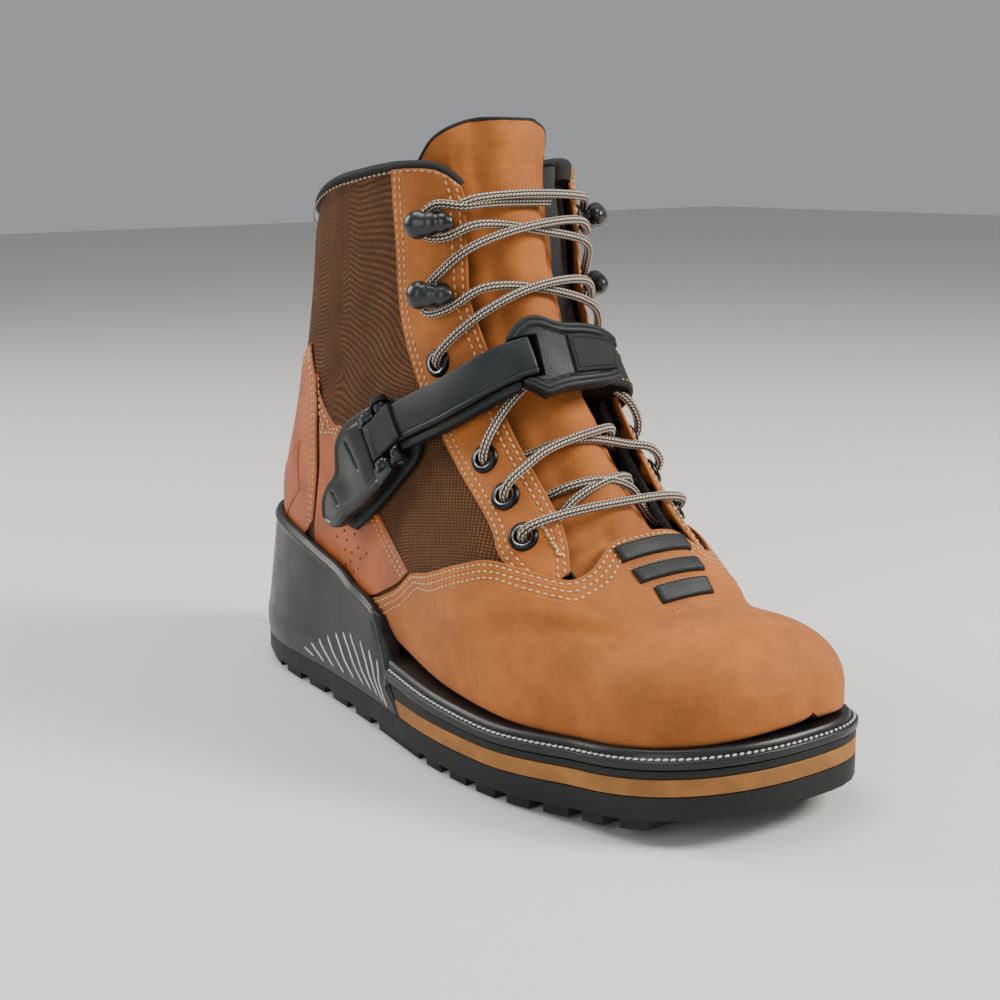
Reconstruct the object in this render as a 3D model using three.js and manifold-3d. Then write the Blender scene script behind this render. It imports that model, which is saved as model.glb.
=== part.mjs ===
// A right steel toe work boot: a leather and textile upper lasted over a steel toe cap, on a
// welted sole with a moulded heel cup, laced through eyelets and hooks, with an instep buckle.
// Millimetres. +Z is up, the toe points along -Y and the lateral (outer) side is -X.
// The origin is on the ground below the waist of the sole.

import * as THREE from 'three';
import { mergeVertices } from 'three/addons/utils/BufferGeometryUtils.js';
import Module from 'manifold-3d';

const wasm = await Module();
wasm.setup();

// ---------------------------------------------------------------- driving sizes

const upperLength = 300;        // heel to toe, over the leather
const upperWidth = 104;         // across the ball, over the leather
const shaftHeight = 198;        // feather line up to the collar at the front
const gap = 0.3;                // between pieces that touch
const plyGap = 0.7;             // between the plies of the upper, for glue and seams

const lugHeight = 4;            // sole stack, from the ground up
const outsoleThickness = 12;
const stripeThickness = 6;
const midsoleThickness = 2.7;
const weltThickness = 4.1;
const soleMargin = 4.5;         // how far the sole stands out past the upper
const heelRise = 12;            // extra height of the upper's floor at the heel
const toeSpring = 7.5;          // lift of the sole under the tip of the toe
const toeSwing = 9;             // how far the toe is swung towards the medial side

const leather = 1.6;            // sheet thicknesses
const textile = 1.1;
const liningThickness = 1.8;
const steelCap = 2;
const boardThickness = 1.2;
const footbedThickness = 4;

const eyeletBore = 6.6;         // fittings
const eyeletFlange = 11;
const hookBall = 10.4;
const laceDiameter = 3.2;

const strapWidth = 15.5;        // instep buckle
const strapThickness = 2.2;
const leverThickness = 3.6;
const pinDiameter = 3;
const barrelDiameter = 7;
const toggleArm = 9;            // base axle to strap pin
const rivetDiameter = 7;

// ---------------------------------------------------------------- the last

const DEG = Math.PI / 180;
const featherHeight = outsoleThickness + stripeThickness + midsoleThickness + weltThickness + 4 * gap;
const kx = upperWidth / 104;
const ky = upperLength / 300;
const kz = shaftHeight / 198;

const mix = (a, b, t) => a + (b - a) * t;
const clamp = (t, low = 0, high = 1) => Math.min(high, Math.max(low, t));
const smooth = (t) => clamp(t) ** 2 * (3 - 2 * clamp(t));
const power = (v, e) => Math.sign(v) * Math.abs(v) ** e;

// Sections run from the toe to the collar. Each one spans from the ridge (front line) to the
// floor (which becomes the heel's back line), and is a superellipse that is widest at `belly`
// of the way up. Columns: ridge y, ridge z, floor y, floor z (z above the feather line), lateral
// and medial half widths, belly, exponents of the ridge side and of the floor side.
const firstSection = 0.2;
const sectionStep = 0.08;
const sections = [
  [-100, 38, -100, -1, 53, 39, 0.30, 2.4, 8],
  [-82, 55, -66, 0, 58, 46, 0.30, 2.2, 8],
  [-64, 76, -26, 1.5, 57, 47, 0.32, 2.3, 7],
  [-48, 96, 22, 4.2, 50, 45, 0.36, 2.5, 5],
  [-35, 115, 78, 8, 44, 43, 0.42, 2.8, 3],
  [-26, 132, 130, 12, 42, 42, 0.46, 2.9, 2.6],
  [-19, 147, 150, 34, 41, 42, 0.50, 3.0, 2.4],
  [-15, 161, 137, 79, 40, 42, 0.50, 3.0, 2.2],
  [-12, 174, 121, 124, 41, 42, 0.50, 3.1, 2.2],
  [-9, 186, 112, 159, 42, 42, 0.50, 3.1, 2.2],
  [-6, 198, 107, 190, 42, 42, 0.50, 3.1, 2.2],
];
const toeLength = 49;           // from the first section to the tip
const toeCentre = 3;            // the first section's centre, towards medial
const toePlan = 2.5;            // exponents of the toe in plan and in profile
const toeProfile = 2.3;

function column(k, s) {
  const last = sections.length - 1;
  const place = (s - firstSection) / sectionStep;
  const i = clamp(Math.floor(place), 0, last - 1);
  const t = place - i;
  const at = (j) => sections[clamp(j, 0, last)][k];
  const a = at(i);
  const b = at(i + 1);
  const ma = i === 0 ? b - a : (b - at(i - 1)) / 2;
  const mb = i === last - 1 ? b - a : (at(i + 2) - a) / 2;
  if (t < 0) return a;
  if (t > 1) return b + (t - 1) * mb;
  const t2 = t * t;
  const t3 = t2 * t;
  return (2 * t3 - 3 * t2 + 1) * a + (t3 - 2 * t2 + t) * ma + (3 * t2 - 2 * t3) * b + (t3 - t2) * mb;
}

const forward = (y) => Math.max(0, (-60 * ky - y) / (90 * ky));
const spring = (y) => toeSpring * forward(y) ** 1.5;
const swing = (y) => toeSwing * forward(y) ** 2;

// The upper's outer face, grown by h. s runs toe to collar, th is the angle round the section in
// degrees from the ridge, positive on the lateral side, 180 at the floor and the heel's back.
function last(s, th, h = 0) {
  const [fy, fz, by, bz, wl, wm, belly, nt, nb] = sections[0].map((_, k) => column(k, s));
  const toe = s < firstSection;
  const phi = toe ? clamp(s / firstSection) * Math.PI / 2 : Math.PI / 2;
  const across = Math.sin(phi) ** (2 / toePlan);
  const up = Math.sin(phi) ** (2 / toeProfile);
  const along = Math.cos(phi) ** (2 / toePlan);
  const pivot = bz + 0.6 * belly * (fz - bz);
  const ridge = [fy * ky, (toe ? pivot + (fz - pivot) * up : fz) * kz];
  const floor = [by * ky, (toe ? pivot - (pivot - bz) * up : bz) * (bz > 0
    ? 1 + (kz - 1) * clamp(bz / 40) : 1)];
  if (toe) {
    floor[1] = Math.min(floor[1], ridge[1]);
    ridge[0] = sections[0][0] * ky - (toeLength * ky + h) * along;
    floor[0] = ridge[0];
  }
  const ry = ridge[0] - floor[0];
  const rz = ridge[1] - floor[1];
  const reach = Math.hypot(ry, rz) + 1e-6;
  const ey = toe ? 0 : ry / reach;
  const ez = toe ? 1 : rz / reach;
  const angle = th * DEG;
  const c = Math.cos(angle);
  const front = c >= 0;
  const exponent = front ? nt : nb;
  const lateral = Math.sin(angle) >= 0;
  const half = (front ? 1 - belly : belly) * reach + h * up;
  const width = ((lateral ? wl : wm) * kx + h) * across;
  const drop = belly * reach + half * power(c, 2 / exponent);
  const y = floor[0] + ey * drop;
  const x = toeCentre * kx * clamp((0.36 - s) / 0.16) + (lateral
    ? -1 : 1) * width * Math.abs(Math.sin(angle)) ** (2 / exponent);
  return new THREE.Vector3(x + swing(y), y, featherHeight + floor[1] + ez * drop + spring(y));
}

// The outward direction of that face.
function outward(s, th) {
  const e = Math.min(0.002, s / 3);
  const ds = last(s + e, th).sub(last(s - e, th));
  const dt = last(s, th + 0.3).sub(last(s, th - 0.3));
  return ds.cross(dt).normalize();
}

// A smooth value read from a list of [position, value] pairs.
function along(pairs, t) {
  let i = 0;
  while (i < pairs.length - 2 && t > pairs[i + 1][0]) i += 1;
  const [a, b] = [pairs[i], pairs[i + 1]];
  const f = clamp((t - a[0]) / (b[0] - a[0]));
  const before = pairs[Math.max(0, i - 1)];
  const after = pairs[Math.min(pairs.length - 1, i + 2)];
  const width = b[0] - a[0];
  const ma = before === a ? b[1] - a[1] : ((b[1] - before[1]) / (b[0] - before[0])) * width;
  const mb = after === b ? b[1] - a[1] : ((after[1] - a[1]) / (after[0] - a[0])) * width;
  const f2 = f * f;
  const f3 = f2 * f;
  return (2 * f3 - 3 * f2 + 1) * a[1] + (f3 - 2 * f2 + f) * ma + (3 * f2 - 2 * f3) * b[1] + (f3 - f2) * mb;
}

// ---------------------------------------------------------------- solids

function fromTriangles(points, faces) {
  const geometry = new THREE.BufferGeometry();
  geometry.setAttribute('position', new THREE.BufferAttribute(new Float32Array(points.flat()), 3));
  let volume = 0;
  const p = (i) => new THREE.Vector3(...points[i]);
  faces.forEach(([a, b, c]) => {
    volume += p(a).dot(p(b).cross(p(c)));
  });
  const wound = volume < 0 ? faces.map(([a, b, c]) => [a, c, b]) : faces;
  geometry.setIndex(wound.flat());
  return geometry;
}

// Joins rings of equal length into one closed body. A ring is a list of Vector3.
function loft(rings, closed = false) {
  const n = rings[0].length;
  const points = rings.flat().map((v) => v.toArray());
  const faces = [];
  const spans = closed ? rings.length : rings.length - 1;
  for (let i = 0; i < spans; i += 1) {
    for (let j = 0; j < n; j += 1) {
      const a = i * n + j;
      const b = i * n + ((j + 1) % n);
      const c = ((i + 1) % rings.length) * n + j;
      const d = ((i + 1) % rings.length) * n + ((j + 1) % n);
      faces.push([a, b, d], [a, d, c]);
    }
  }
  if (!closed) {
    [0, rings.length - 1].forEach((i) => {
      const middle = rings[i].reduce((sum, v) => sum.add(v), new THREE.Vector3()).divideScalar(n);
      points.push(middle.toArray());
      for (let j = 0; j < n; j += 1) {
        const a = i * n + j;
        const b = i * n + ((j + 1) % n);
        faces.push(i === 0 ? [points.length - 1, b, a] : [points.length - 1, a, b]);
      }
    });
  }
  return fromTriangles(points, faces);
}

// A sheet that follows the last between an inner and an outer offset. At v across the sheet it
// runs from bottom(v) to top(v); at s it spans from front(s) to back(s) degrees.
function sheet({ bottom, top, front, back, rows, columns, inner, outer, ring = false }) {
  const value = (f, ...args) => (typeof f === 'function' ? f(...args) : f);
  const grid = (offset) => {
    const points = [];
    for (let i = 0; i <= rows; i += 1) {
      for (let j = 0; j <= columns; j += 1) {
        const v = j / columns;
        const s = mix(value(bottom, v), value(top, v), i / rows);
        const th = mix(value(front, s), value(back, s), v);
        points.push(last(s, th, value(offset, s, th)).toArray());
      }
    }
    return points;
  };
  const points = [...grid(outer), ...grid(inner)];
  const half = points.length / 2;
  const faces = [];
  const id = (i, j) => i * (columns + 1) + (ring ? j % columns : j);
  const quad = (a, b, c, d) => faces.push([a, b, c], [a, c, d]);
  for (let i = 0; i < rows; i += 1) {
    for (let j = 0; j < columns; j += 1) {
      quad(id(i, j), id(i, j + 1), id(i + 1, j + 1), id(i + 1, j));
      quad(half + id(i, j), half + id(i + 1, j), half + id(i + 1, j + 1), half + id(i, j + 1));
    }
    if (!ring) {
      quad(id(i, 0), id(i + 1, 0), half + id(i + 1, 0), half + id(i, 0));
      quad(id(i, columns), half + id(i, columns), half + id(i + 1, columns), id(i + 1, columns));
    }
  }
  for (let j = 0; j < columns; j += 1) {
    quad(id(0, j), half + id(0, j), half + id(0, j + 1), id(0, j + 1));
    quad(id(rows, j), id(rows, j + 1), half + id(rows, j + 1), half + id(rows, j));
  }
  if (!ring) return fromTriangles(points, faces);
  const used = [...new Set(faces.flat())];
  const renumber = new Map(used.map((old, fresh) => [old, fresh]));
  return fromTriangles(used.map((i) => points[i]), faces.map((f) => f.map((i) => renumber.get(i))));
}

function toSolid(geometry) {
  const bare = geometry.clone();
  bare.deleteAttribute('normal');
  bare.deleteAttribute('uv');
  const merged = mergeVertices(bare, 1e-4);
  return new wasm.Manifold(new wasm.Mesh({
    numProp: 3,
    vertProperties: new Float32Array(merged.attributes.position.array),
    triVerts: new Uint32Array(merged.index.array),
  }));
}

function toGeometry(solid) {
  const mesh = solid.getMesh();
  const geometry = new THREE.BufferGeometry();
  geometry.setAttribute('position', new THREE.BufferAttribute(mesh.vertProperties, 3));
  geometry.setIndex(new THREE.BufferAttribute(mesh.triVerts, 1));
  return geometry;
}

const join = (first, ...rest) => toGeometry(rest.reduce((sum, g) => sum.add(toSolid(g)), toSolid(first)));
const cut = (first, ...rest) => toGeometry(rest.reduce((sum, g) => sum.subtract(toSolid(g)),
  toSolid(first)));

// A cylinder between two points.
function rod(from, to, radius, sides = 16) {
  const geometry = new THREE.CylinderGeometry(radius, radius, from.distanceTo(to), sides);
  const turn = new THREE.Quaternion().setFromUnitVectors(new THREE.Vector3(0, 1, 0),
    to.clone().sub(from).normalize());
  geometry.applyQuaternion(turn);
  return geometry.translate(...from.clone().add(to).divideScalar(2).toArray());
}

// The turn that takes +Z to the outward direction at a place on the upper.
function standing(s, th) {
  const z = outward(s, th);
  const x = last(s + 0.004, th).sub(last(s - 0.004, th)).normalize();
  const y = z.clone().cross(x).normalize();
  return new THREE.Matrix4().makeBasis(y.clone().cross(z), y, z);
}

function placeOn(geometry, s, th, h) {
  geometry.applyMatrix4(standing(s, th));
  return geometry.translate(...last(s, th, h).toArray());
}

// ---------------------------------------------------------------- object

const boot = new THREE.Group();

function add(name, geometry, colour, roughness, metalness = 0) {
  const material = new THREE.MeshStandardMaterial({ color: colour, roughness, metalness });
  const mesh = new THREE.Mesh(geometry, material);
  mesh.name = name;
  boot.add(mesh);
}

const nubuck = 0xb8712f;
const darkLeather = 0xa4642c;
const weave = 0x5a3a2c;
const black = 0x111413;
const rubber = 0x0d0f0f;
const gunmetal = 0x2a302f;
const steel = 0x9a9c9e;

// ---- sole

// The feather line in plan: pairs of points, lateral and medial, from the toe to the heel.
const heelCentre = 78;
const heelLength = 73;
const heelPlan = 2.5;

function featherRows() {
  const rows = [];
  const [, , y0, , wl0, wm0] = sections[0];
  [3, 12, 22, 33, 45, 57, 68, 79, 90].forEach((phi) => {
    const across = Math.sin(phi * DEG) ** (2 / toePlan);
    rows.push([y0 - toeLength * Math.cos(phi * DEG) ** (2 / toePlan), toeCentre, wl0 * across,
      wm0 * across]);
  });
  for (let s = 0.23; s < 0.525; s += 0.0322) {
    rows.push([column(2, s), toeCentre * clamp((0.36 - s) / 0.16), column(4, s), column(5, s)]);
  }
  const [wl, wm] = [column(4, 0.52), column(5, 0.52)];
  [10, 20, 30, 40, 50, 60, 70, 79, 87].forEach((psi) => {
    const across = Math.cos(psi * DEG) ** (2 / heelPlan);
    rows.push([heelCentre + heelLength * Math.sin(psi * DEG) ** (2 / heelPlan), 0, wl * across,
      wm * across]);
  });
  return rows.map(([y, centre, left, right]) => {
    const shift = centre * kx + swing(y * ky);
    return [new THREE.Vector2(shift - left * kx, y * ky), new THREE.Vector2(shift + right * kx, y * ky)];
  });
}

// The same rows moved out by `margin`.
function soleRows(margin) {
  const rows = featherRows();
  const side = (k) => rows.map((row, i) => {
    const before = rows[Math.max(0, i - 1)][k];
    const after = rows[Math.min(rows.length - 1, i + 1)][k];
    const t = after.clone().sub(before).normalize();
    const normal = k === 0 ? new THREE.Vector2(-t.y, t.x) : new THREE.Vector2(t.y, -t.x);
    if (i === 0) normal.set(k === 0 ? -0.35 : 0.35, -0.94);
    if (i === rows.length - 1) normal.set(k === 0 ? -0.35 : 0.35, 0.94);
    return row[k].clone().addScaledVector(normal, margin);
  });
  const left = side(0);
  const right = side(1);
  return left.map((p, i) => [p, right[i]]);
}

const rise = (y) => heelRise * clamp((y / ky + 66) / 196, 0, 1.2) ** 1.3;

// A full-width layer of the sole between two heights, over a range of rows.
function layer(margin, low, high, rows = soleRows(margin)) {
  const rings = rows.map(([l, r]) => [
    new THREE.Vector3(l.x, l.y, low(l.y) + spring(l.y)),
    new THREE.Vector3(r.x, r.y, low(r.y) + spring(r.y)),
    new THREE.Vector3(r.x, r.y, high(r.y) + spring(r.y)),
    new THREE.Vector3(l.x, l.y, high(l.y) + spring(l.y)),
  ]);
  return loft(rings);
}

const level = (z) => () => z;
const stripeBottom = outsoleThickness + gap;
const stripeTop = stripeBottom + stripeThickness;
const midsoleBottom = stripeTop + gap;
const midsoleTop = midsoleBottom + midsoleThickness;
const weltBottom = midsoleTop + gap;
const weltTop = weltBottom + weltThickness;

// The slanted joint at the waist where the heel cup meets the forefoot layers.
const waist = 6;                // y of the joint at the feather line
const waistSlant = 0.75;
function waistBlock(behind, clearance) {
  const shape = new THREE.Shape();
  const at = (z) => (waist * ky + (z - featherHeight) * waistSlant) + (behind ? -clearance : clearance);
  const far = behind ? 300 : -300;
  shape.moveTo(at(-20), -20);
  shape.lineTo(at(120), 120);
  shape.lineTo(far, 120);
  shape.lineTo(far, -20);
  shape.closePath();
  const geometry = new THREE.ExtrudeGeometry(shape, { depth: 300, bevelEnabled: false });
  geometry.applyMatrix4(new THREE.Matrix4().makeBasis(
    new THREE.Vector3(0, 1, 0), new THREE.Vector3(0, 0, 1), new THREE.Vector3(1, 0, 0)));
  return geometry.translate(-150, 0, 0);
}

// Lugs: bars across the forefoot and the heel, each from one y to another.
const lugs = [
  [-128, -119], [-113, -104], [-98, -88], [-82, -72], [-66, -56], [-50, -40], [-34, -24], [-18, 18],
  [26, 40], [48, 62], [70, 84], [92, 106], [114, 128],
];

function lugBar([from, to]) {
  const rows = soleRows(soleMargin - 1.5);
  const at = (y) => {
    let i = 1;
    while (i < rows.length - 1 && rows[i][0].y < y) i += 1;
    const side = (k) => {
      const [a, b] = [rows[i - 1][k], rows[i][k]];
      const t = clamp((y - a.y) / (b.y - a.y));
      return new THREE.Vector2(mix(a.x, b.x, t), y);
    };
    return [side(0), side(1)];
  };
  const ends = [at(from * ky), at(to * ky)];
  return layer(0, level(0), level(lugHeight + 0.5), ends);
}

function outsole() {
  const base = layer(soleMargin, level(lugHeight), level(outsoleThickness));
  return join(base, ...lugs.map(lugBar));
}

function forefootLayer(low, high, margin) {
  return cut(layer(margin, low, high), waistBlock(true, gap));
}

// The welt: a strip round the forefoot, with a raised bead against the upper.
function welt() {
  const rows = featherRows();
  const inside = 9;
  const profile = [
    [-inside, weltBottom], [soleMargin + 0.6, weltBottom], [soleMargin + 0.6, weltTop - 1.6],
    [soleMargin - 1.2, weltTop - 0.9], [soleMargin - 2, weltTop + 1.2], [1.4, weltTop + 1.8],
    [-1.5, weltTop + 2.2], [-inside, weltTop + 2.6],
  ];
  const path = [...rows.map((r) => r[0]).reverse(), ...rows.map((r) => r[1])].filter((p) => p.y < 40 * ky);
  const rings = path.map((p, i) => {
    const before = path[Math.max(0, i - 1)];
    const after = path[Math.min(path.length - 1, i + 1)];
    const t = after.clone().sub(before).normalize();
    const normal = new THREE.Vector2(t.y, -t.x);
    return profile.map(([out, z]) => {
      const q = p.clone().addScaledVector(normal, out);
      return new THREE.Vector3(q.x, q.y, z + spring(q.y) + rise(p.y) * (z > weltBottom + 1 ? 1 : 0.6));
    });
  });
  return cut(loft(rings), waistBlock(true, gap), grownUpper(gap + 0.2, 0.02, 0.5));
}

// The upper grown by h, as one closed body to cut with.
function grownUpper(h, from, to, steps = 30, sides = 40) {
  const rings = [];
  for (let i = 0; i <= steps; i += 1) {
    const s = mix(from, to, i / steps);
    rings.push(Array.from({ length: sides }, (_, j) => last(s, j * 360 / sides, h)));
  }
  return loft(rings);
}

// The moulded heel cup: the heel's whole width below the upper, and a thin wall against the upper
// whose rim climbs to the back.
const rimHeight = [[-10, 30], [8, 36], [16, 41], [23, 46], [35, 49.5], [51, 51.5], [61, 55], [77, 58.5],
  [92, 62], [125, 66], [170, 68]];
const cupClearance = 1.5;       // from the upper, which the backstay stands proud of
const cupWall = 3;
const cupShoulder = 22;         // height where the cup's side starts to lean in
const cupLean = 34;             // height where it has met the thin wall
const rimAt = (y) => featherHeight + (along(rimHeight, y / ky) - 26) * kz;

function cupBlock() {
  const outer = soleRows(soleMargin);
  const inner = soleRows(1.2);
  const heel = outer.map((row, i) => [row, inner[i]]).filter(([[l]]) => l.y > -12 * ky);
  const rings = heel.map(([[l, r], [il, ir]]) => {
    const top = Math.min(cupLean, rimAt(l.y) - 0.4);
    const shoulder = Math.min(cupShoulder, top - 4);
    const at = (p, z) => new THREE.Vector3(p.x, p.y, z);
    return [
      at(l, outsoleThickness + gap), at(r, outsoleThickness + gap), at(r, shoulder),
      at(ir, top), at(il, top), at(l, shoulder),
    ];
  });
  return loft(rings);
}

// Everything above the cup's rim.
function aboveRim() {
  const rings = [-100, ...rimHeight.map(([y]) => y)].map((y) => {
    const z = rimAt(y * ky);
    return [[-120, z], [120, z], [120, 300], [-120, 300]].map(([x, up]) => new THREE.Vector3(x, y * ky,
      up));
  });
  return loft(rings);
}

function heelCup() {
  const grown = (h) => grownUpper(h, 0.3, 0.9, 18, 36);
  const wall = cut(grown(cupClearance + cupWall), aboveRim());
  return cut(join(cupBlock(), wall), waistBlock(false, gap), grown(cupClearance));
}

// ---- upper

const eyestayFront = [[0.3, 33], [0.325, 28], [0.352, 25.5], [0.39, 26], [0.441, 28.5], [0.5, 30.5],
  [0.583, 29],
  [0.635, 30], [0.711, 32], [0.814, 30], [0.888, 27.5], [0.935, 29]];
const eyestayBack = [[0.3, 50], [0.364, 54], [0.392, 52.5], [0.437, 54.5], [0.483, 57.5], [0.523, 59.5],
  [0.625, 61],
  [0.691, 64], [0.763, 68], [0.838, 69.5], [0.984, 69.5]];
const collarLine = [[28, 0.925], [32, 0.945], [40, 0.968], [51, 0.98], [72, 0.986], [100, 0.98], [135,
  0.958],
  [180, 0.948]];
const vampLine = [[0, 0.306], [7, 0.306], [15, 0.303], [20, 0.294], [27, 0.285], [35.5, 0.288], [42.5,
  0.31],
  [49, 0.334], [58, 0.366], [70, 0.394], [83.5, 0.427], [91.5, 0.457], [105, 0.475], [120, 0.49], [150,
    0.5]];
const counterFront = [[0.44, 90], [0.515, 89.5], [0.645, 88.5], [0.7, 93.5], [0.765, 108]];
const backstaySeam = [[0.5, 145], [0.56, 128], [0.593, 111], [0.617, 103], [0.651, 98.5], [0.705, 99],
  [0.753, 105], [0.8, 116]];
const collarAt = (th) => along(collarLine, Math.abs(th > 180 ? 360 - th : th));
const bindingHeight = 0.011;
const underCollar = (th) => collarAt(th) - bindingHeight;

const leatherTop = 0;
const leatherBottom = leatherTop - leather;
const textileTop = leatherBottom - plyGap;
const textileBottom = textileTop - textile;
const liningTop = textileBottom - plyGap - 2 * gap;
const liningBottom = liningTop - liningThickness;
const capTop = leatherBottom - plyGap - gap;
const capBottom = capTop - steelCap;
const toeLiningTop = capBottom - plyGap;
const toeLiningBottom = toeLiningTop - 1;

const eyelets = [[0.36, 41.5], [0.412, 42], [0.466, 45], [0.626, 51]];
const hooks = [[0.726, 46], [0.853, 45]];

// side is 1 on the lateral side and -1 on the medial side.
function eyestay(side) {
  const body = sheet({
    bottom: 0.3,
    top: (v) => underCollar(mix(29, 69.5, v)),
    front: (s) => side * along(eyestayFront, s),
    back: (s) => side * along(eyestayBack, s),
    rows: 20,
    columns: 4,
    inner: leatherBottom,
    outer: leatherTop,
  });
  const holes = eyelets.map(([s, th]) => hole(s, side * th, eyeletBore / 2 + 1.2));
  return cut(body, ...holes, ...hooks.map(([s, th]) => hole(s, side * th, 1.6)));
}

function hole(s, th, radius) {
  const geometry = new THREE.CylinderGeometry(radius, radius, 24, 8);
  geometry.rotateX(Math.PI / 2);
  return placeOn(geometry, s, th, 0);
}

function quarter(side) {
  return sheet({
    bottom: (v) => mix(0.345, 0.44, v),
    top: (v) => underCollar(mix(62, 177, v)),
    front: (s) => side * (along(eyestayBack, s) - 7),
    back: (s) => side * along([[0.44, 142], [0.58, 148], [0.66, 175], [0.75, 177], [1, 177]], s),
    rows: 22,
    columns: 11,
    inner: textileBottom,
    outer: textileTop,
  });
}

function counter(side) {
  return sheet({
    bottom: (v) => along(vampLine, mix(90, 142, v)) + 0.008,
    top: 0.755,
    front: (s) => side * along(counterFront, s),
    back: (s) => side * (along(backstaySeam, s) - 1.5),
    rows: 12,
    columns: 5,
    inner: leatherBottom,
    outer: leatherTop,
  });
}

function backstay() {
  return sheet({
    bottom: 0.6,
    top: 0.8,
    front: (s) => along(backstaySeam, s),
    back: (s) => 360 - along(backstaySeam, s),
    rows: 9,
    columns: 18,
    inner: leatherBottom,
    outer: leatherTop,
  });
}

const vampEdge = (th) => along(vampLine, Math.abs(th));

// The vamp rises over the eyestays and the quarters near its edge, and lies flush elsewhere.
function vampLift(s, th) {
  const near = smooth((s - vampEdge(th) + 0.1) / 0.04);
  return (leather + plyGap) * near * (1 - smooth((Math.abs(th) - 84) / 10));
}

function vamp() {
  const turned = 148;
  return sheet({
    bottom: 0.003,
    top: (v) => vampEdge(mix(-turned, turned, v)),
    front: -turned,
    back: turned,
    rows: 14,
    columns: 28,
    inner: (s, th) => leatherBottom + vampLift(s, th),
    outer: (s, th) => leatherTop + vampLift(s, th),
  });
}

function toeCap() {
  return sheet({
    bottom: 0.004, top: 0.185, front: -146, back: 146, rows: 7, columns: 20, inner: capBottom,
      outer: capTop,
  });
}

function toeLining() {
  return sheet({
    bottom: 0.02, top: 0.3, front: 0, back: 360, rows: 7, columns: 20, inner: toeLiningBottom,
      outer: toeLiningTop, ring: true,
  });
}

function quarterLining() {
  const body = sheet({
    bottom: 0.315,
    top: (v) => underCollar(mix(30.5, 329.5, v)),
    front: (s) => along(eyestayFront, s) + 1.5,
    back: (s) => 360 - along(eyestayFront, s) - 1.5,
    rows: 20,
    columns: 22,
    inner: liningBottom,
    outer: liningTop,
  });
  const all = [1, -1].flatMap((side) => eyelets.map(([s, th]) => hole(s, side * th, eyeletBore / 2 + 1.5)));
  return cut(body, ...all);
}

function collarBinding() {
  return sheet({
    bottom: (v) => collarAt(mix(29, 331, v)) - bindingHeight + 0.0045,
    top: (v) => collarAt(mix(29, 331, v)),
    front: 29,
    back: 331,
    rows: 1,
    columns: 30,
    inner: liningBottom,
    outer: leatherTop + 0.3,
  });
}

// The tongue dips where the lace passes under the eyestays.
const tongueTop = [[-46, 1.0], [-30, 1.045], [0, 1.07], [20, 1.062], [45, 1.03], [62, 0.985]];
const tongueSide = liningBottom - 2 * gap - laceDiameter - 1.1;
const tongueDip = (th) => mix(-5, tongueSide, smooth(Math.abs(th) / 18));

function tongueLayer(inner, outer, inset) {
  return sheet({
    bottom: 0.315,
    top: (v) => along(tongueTop, mix(-46, 62, v)) - inset * 0.004,
    front: (s) => -mix(34, 45, smooth((s - 0.3) / 0.6)) + inset,
    back: (s) => mix(34, 60, smooth((s - 0.3) / 0.65)) - inset,
    rows: 14,
    columns: 10,
    inner: (s, th) => tongueDip(th) + inner + tongueLean(s),
    outer: (s, th) => tongueDip(th) + outer + tongueLean(s),
  });
}

const tongueLean = (s) => 3 * smooth((s - 0.93) / 0.12);

// ---- footbed and board

function insoleBoard() {
  return sheet({
    bottom: 0.07,
    top: 0.56,
    front: 158,
    back: 202,
    rows: 12,
    columns: 6,
    inner: leatherBottom - plyGap - boardThickness,
    outer: leatherBottom - plyGap,
  });
}

function shank() {
  return sheet({
    bottom: 0.38, top: 0.55, front: 174, back: 186, rows: 5, columns: 1, inner: leatherBottom + 0.1,
      outer: leatherTop - 0.2,
  });
}

function footbed() {
  return sheet({
    bottom: 0.05,
    top: 0.57,
    front: 158,
    back: 202,
    rows: 12,
    columns: 4,
    inner: liningBottom - 1 - footbedThickness,
    outer: liningBottom - 1,
  });
}

// ---- bars on the vamp

// Each bar: place along the vamp and its two end angles.
const barStand = 1.3;           // over the vamp's face, which the bars' chords cut into
const barHeight = 2.4;
const bars = [[0.283, -16, 14.5], [0.25, -15, 13.5], [0.221, -13, 10]];

function vampBar([s, from, to]) {
  const face = (t, th) => leatherTop + vampLift(t, th) + barStand;
  return sheet({
    bottom: s - 0.0105,
    top: s + 0.0105,
    front: from,
    back: to,
    rows: 2,
    columns: 6,
    inner: face,
    outer: (t, th) => face(t, th) + barHeight,
  });
}

// ---- eyelets and hooks

function eyelet(s, th) {
  const bore = eyeletBore / 2;
  const rim = eyeletFlange / 2;
  const low = leatherBottom;
  const profile = [[bore, low], [bore + 0.8, low], [bore + 0.8, 0.35], [rim, 0.35], [rim - 0.3, 1.1],
    [bore + 1, 1.6], [bore, 1.1]];
  const geometry = new THREE.LatheGeometry([...profile, profile[0]].map((p) => new THREE.Vector2(...p)),
    10);
  geometry.rotateX(Math.PI / 2);
  return placeOn(geometry, s, th, 0);
}

// The lobes of a hook's head: reach towards the laces' outer side, height and diameter.
const hookLobes = [[4.6, 8.9, hookBall], [-0.4, 8.8, hookBall * 0.85], [-5.2, 8.2, hookBall * 0.7]];

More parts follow.
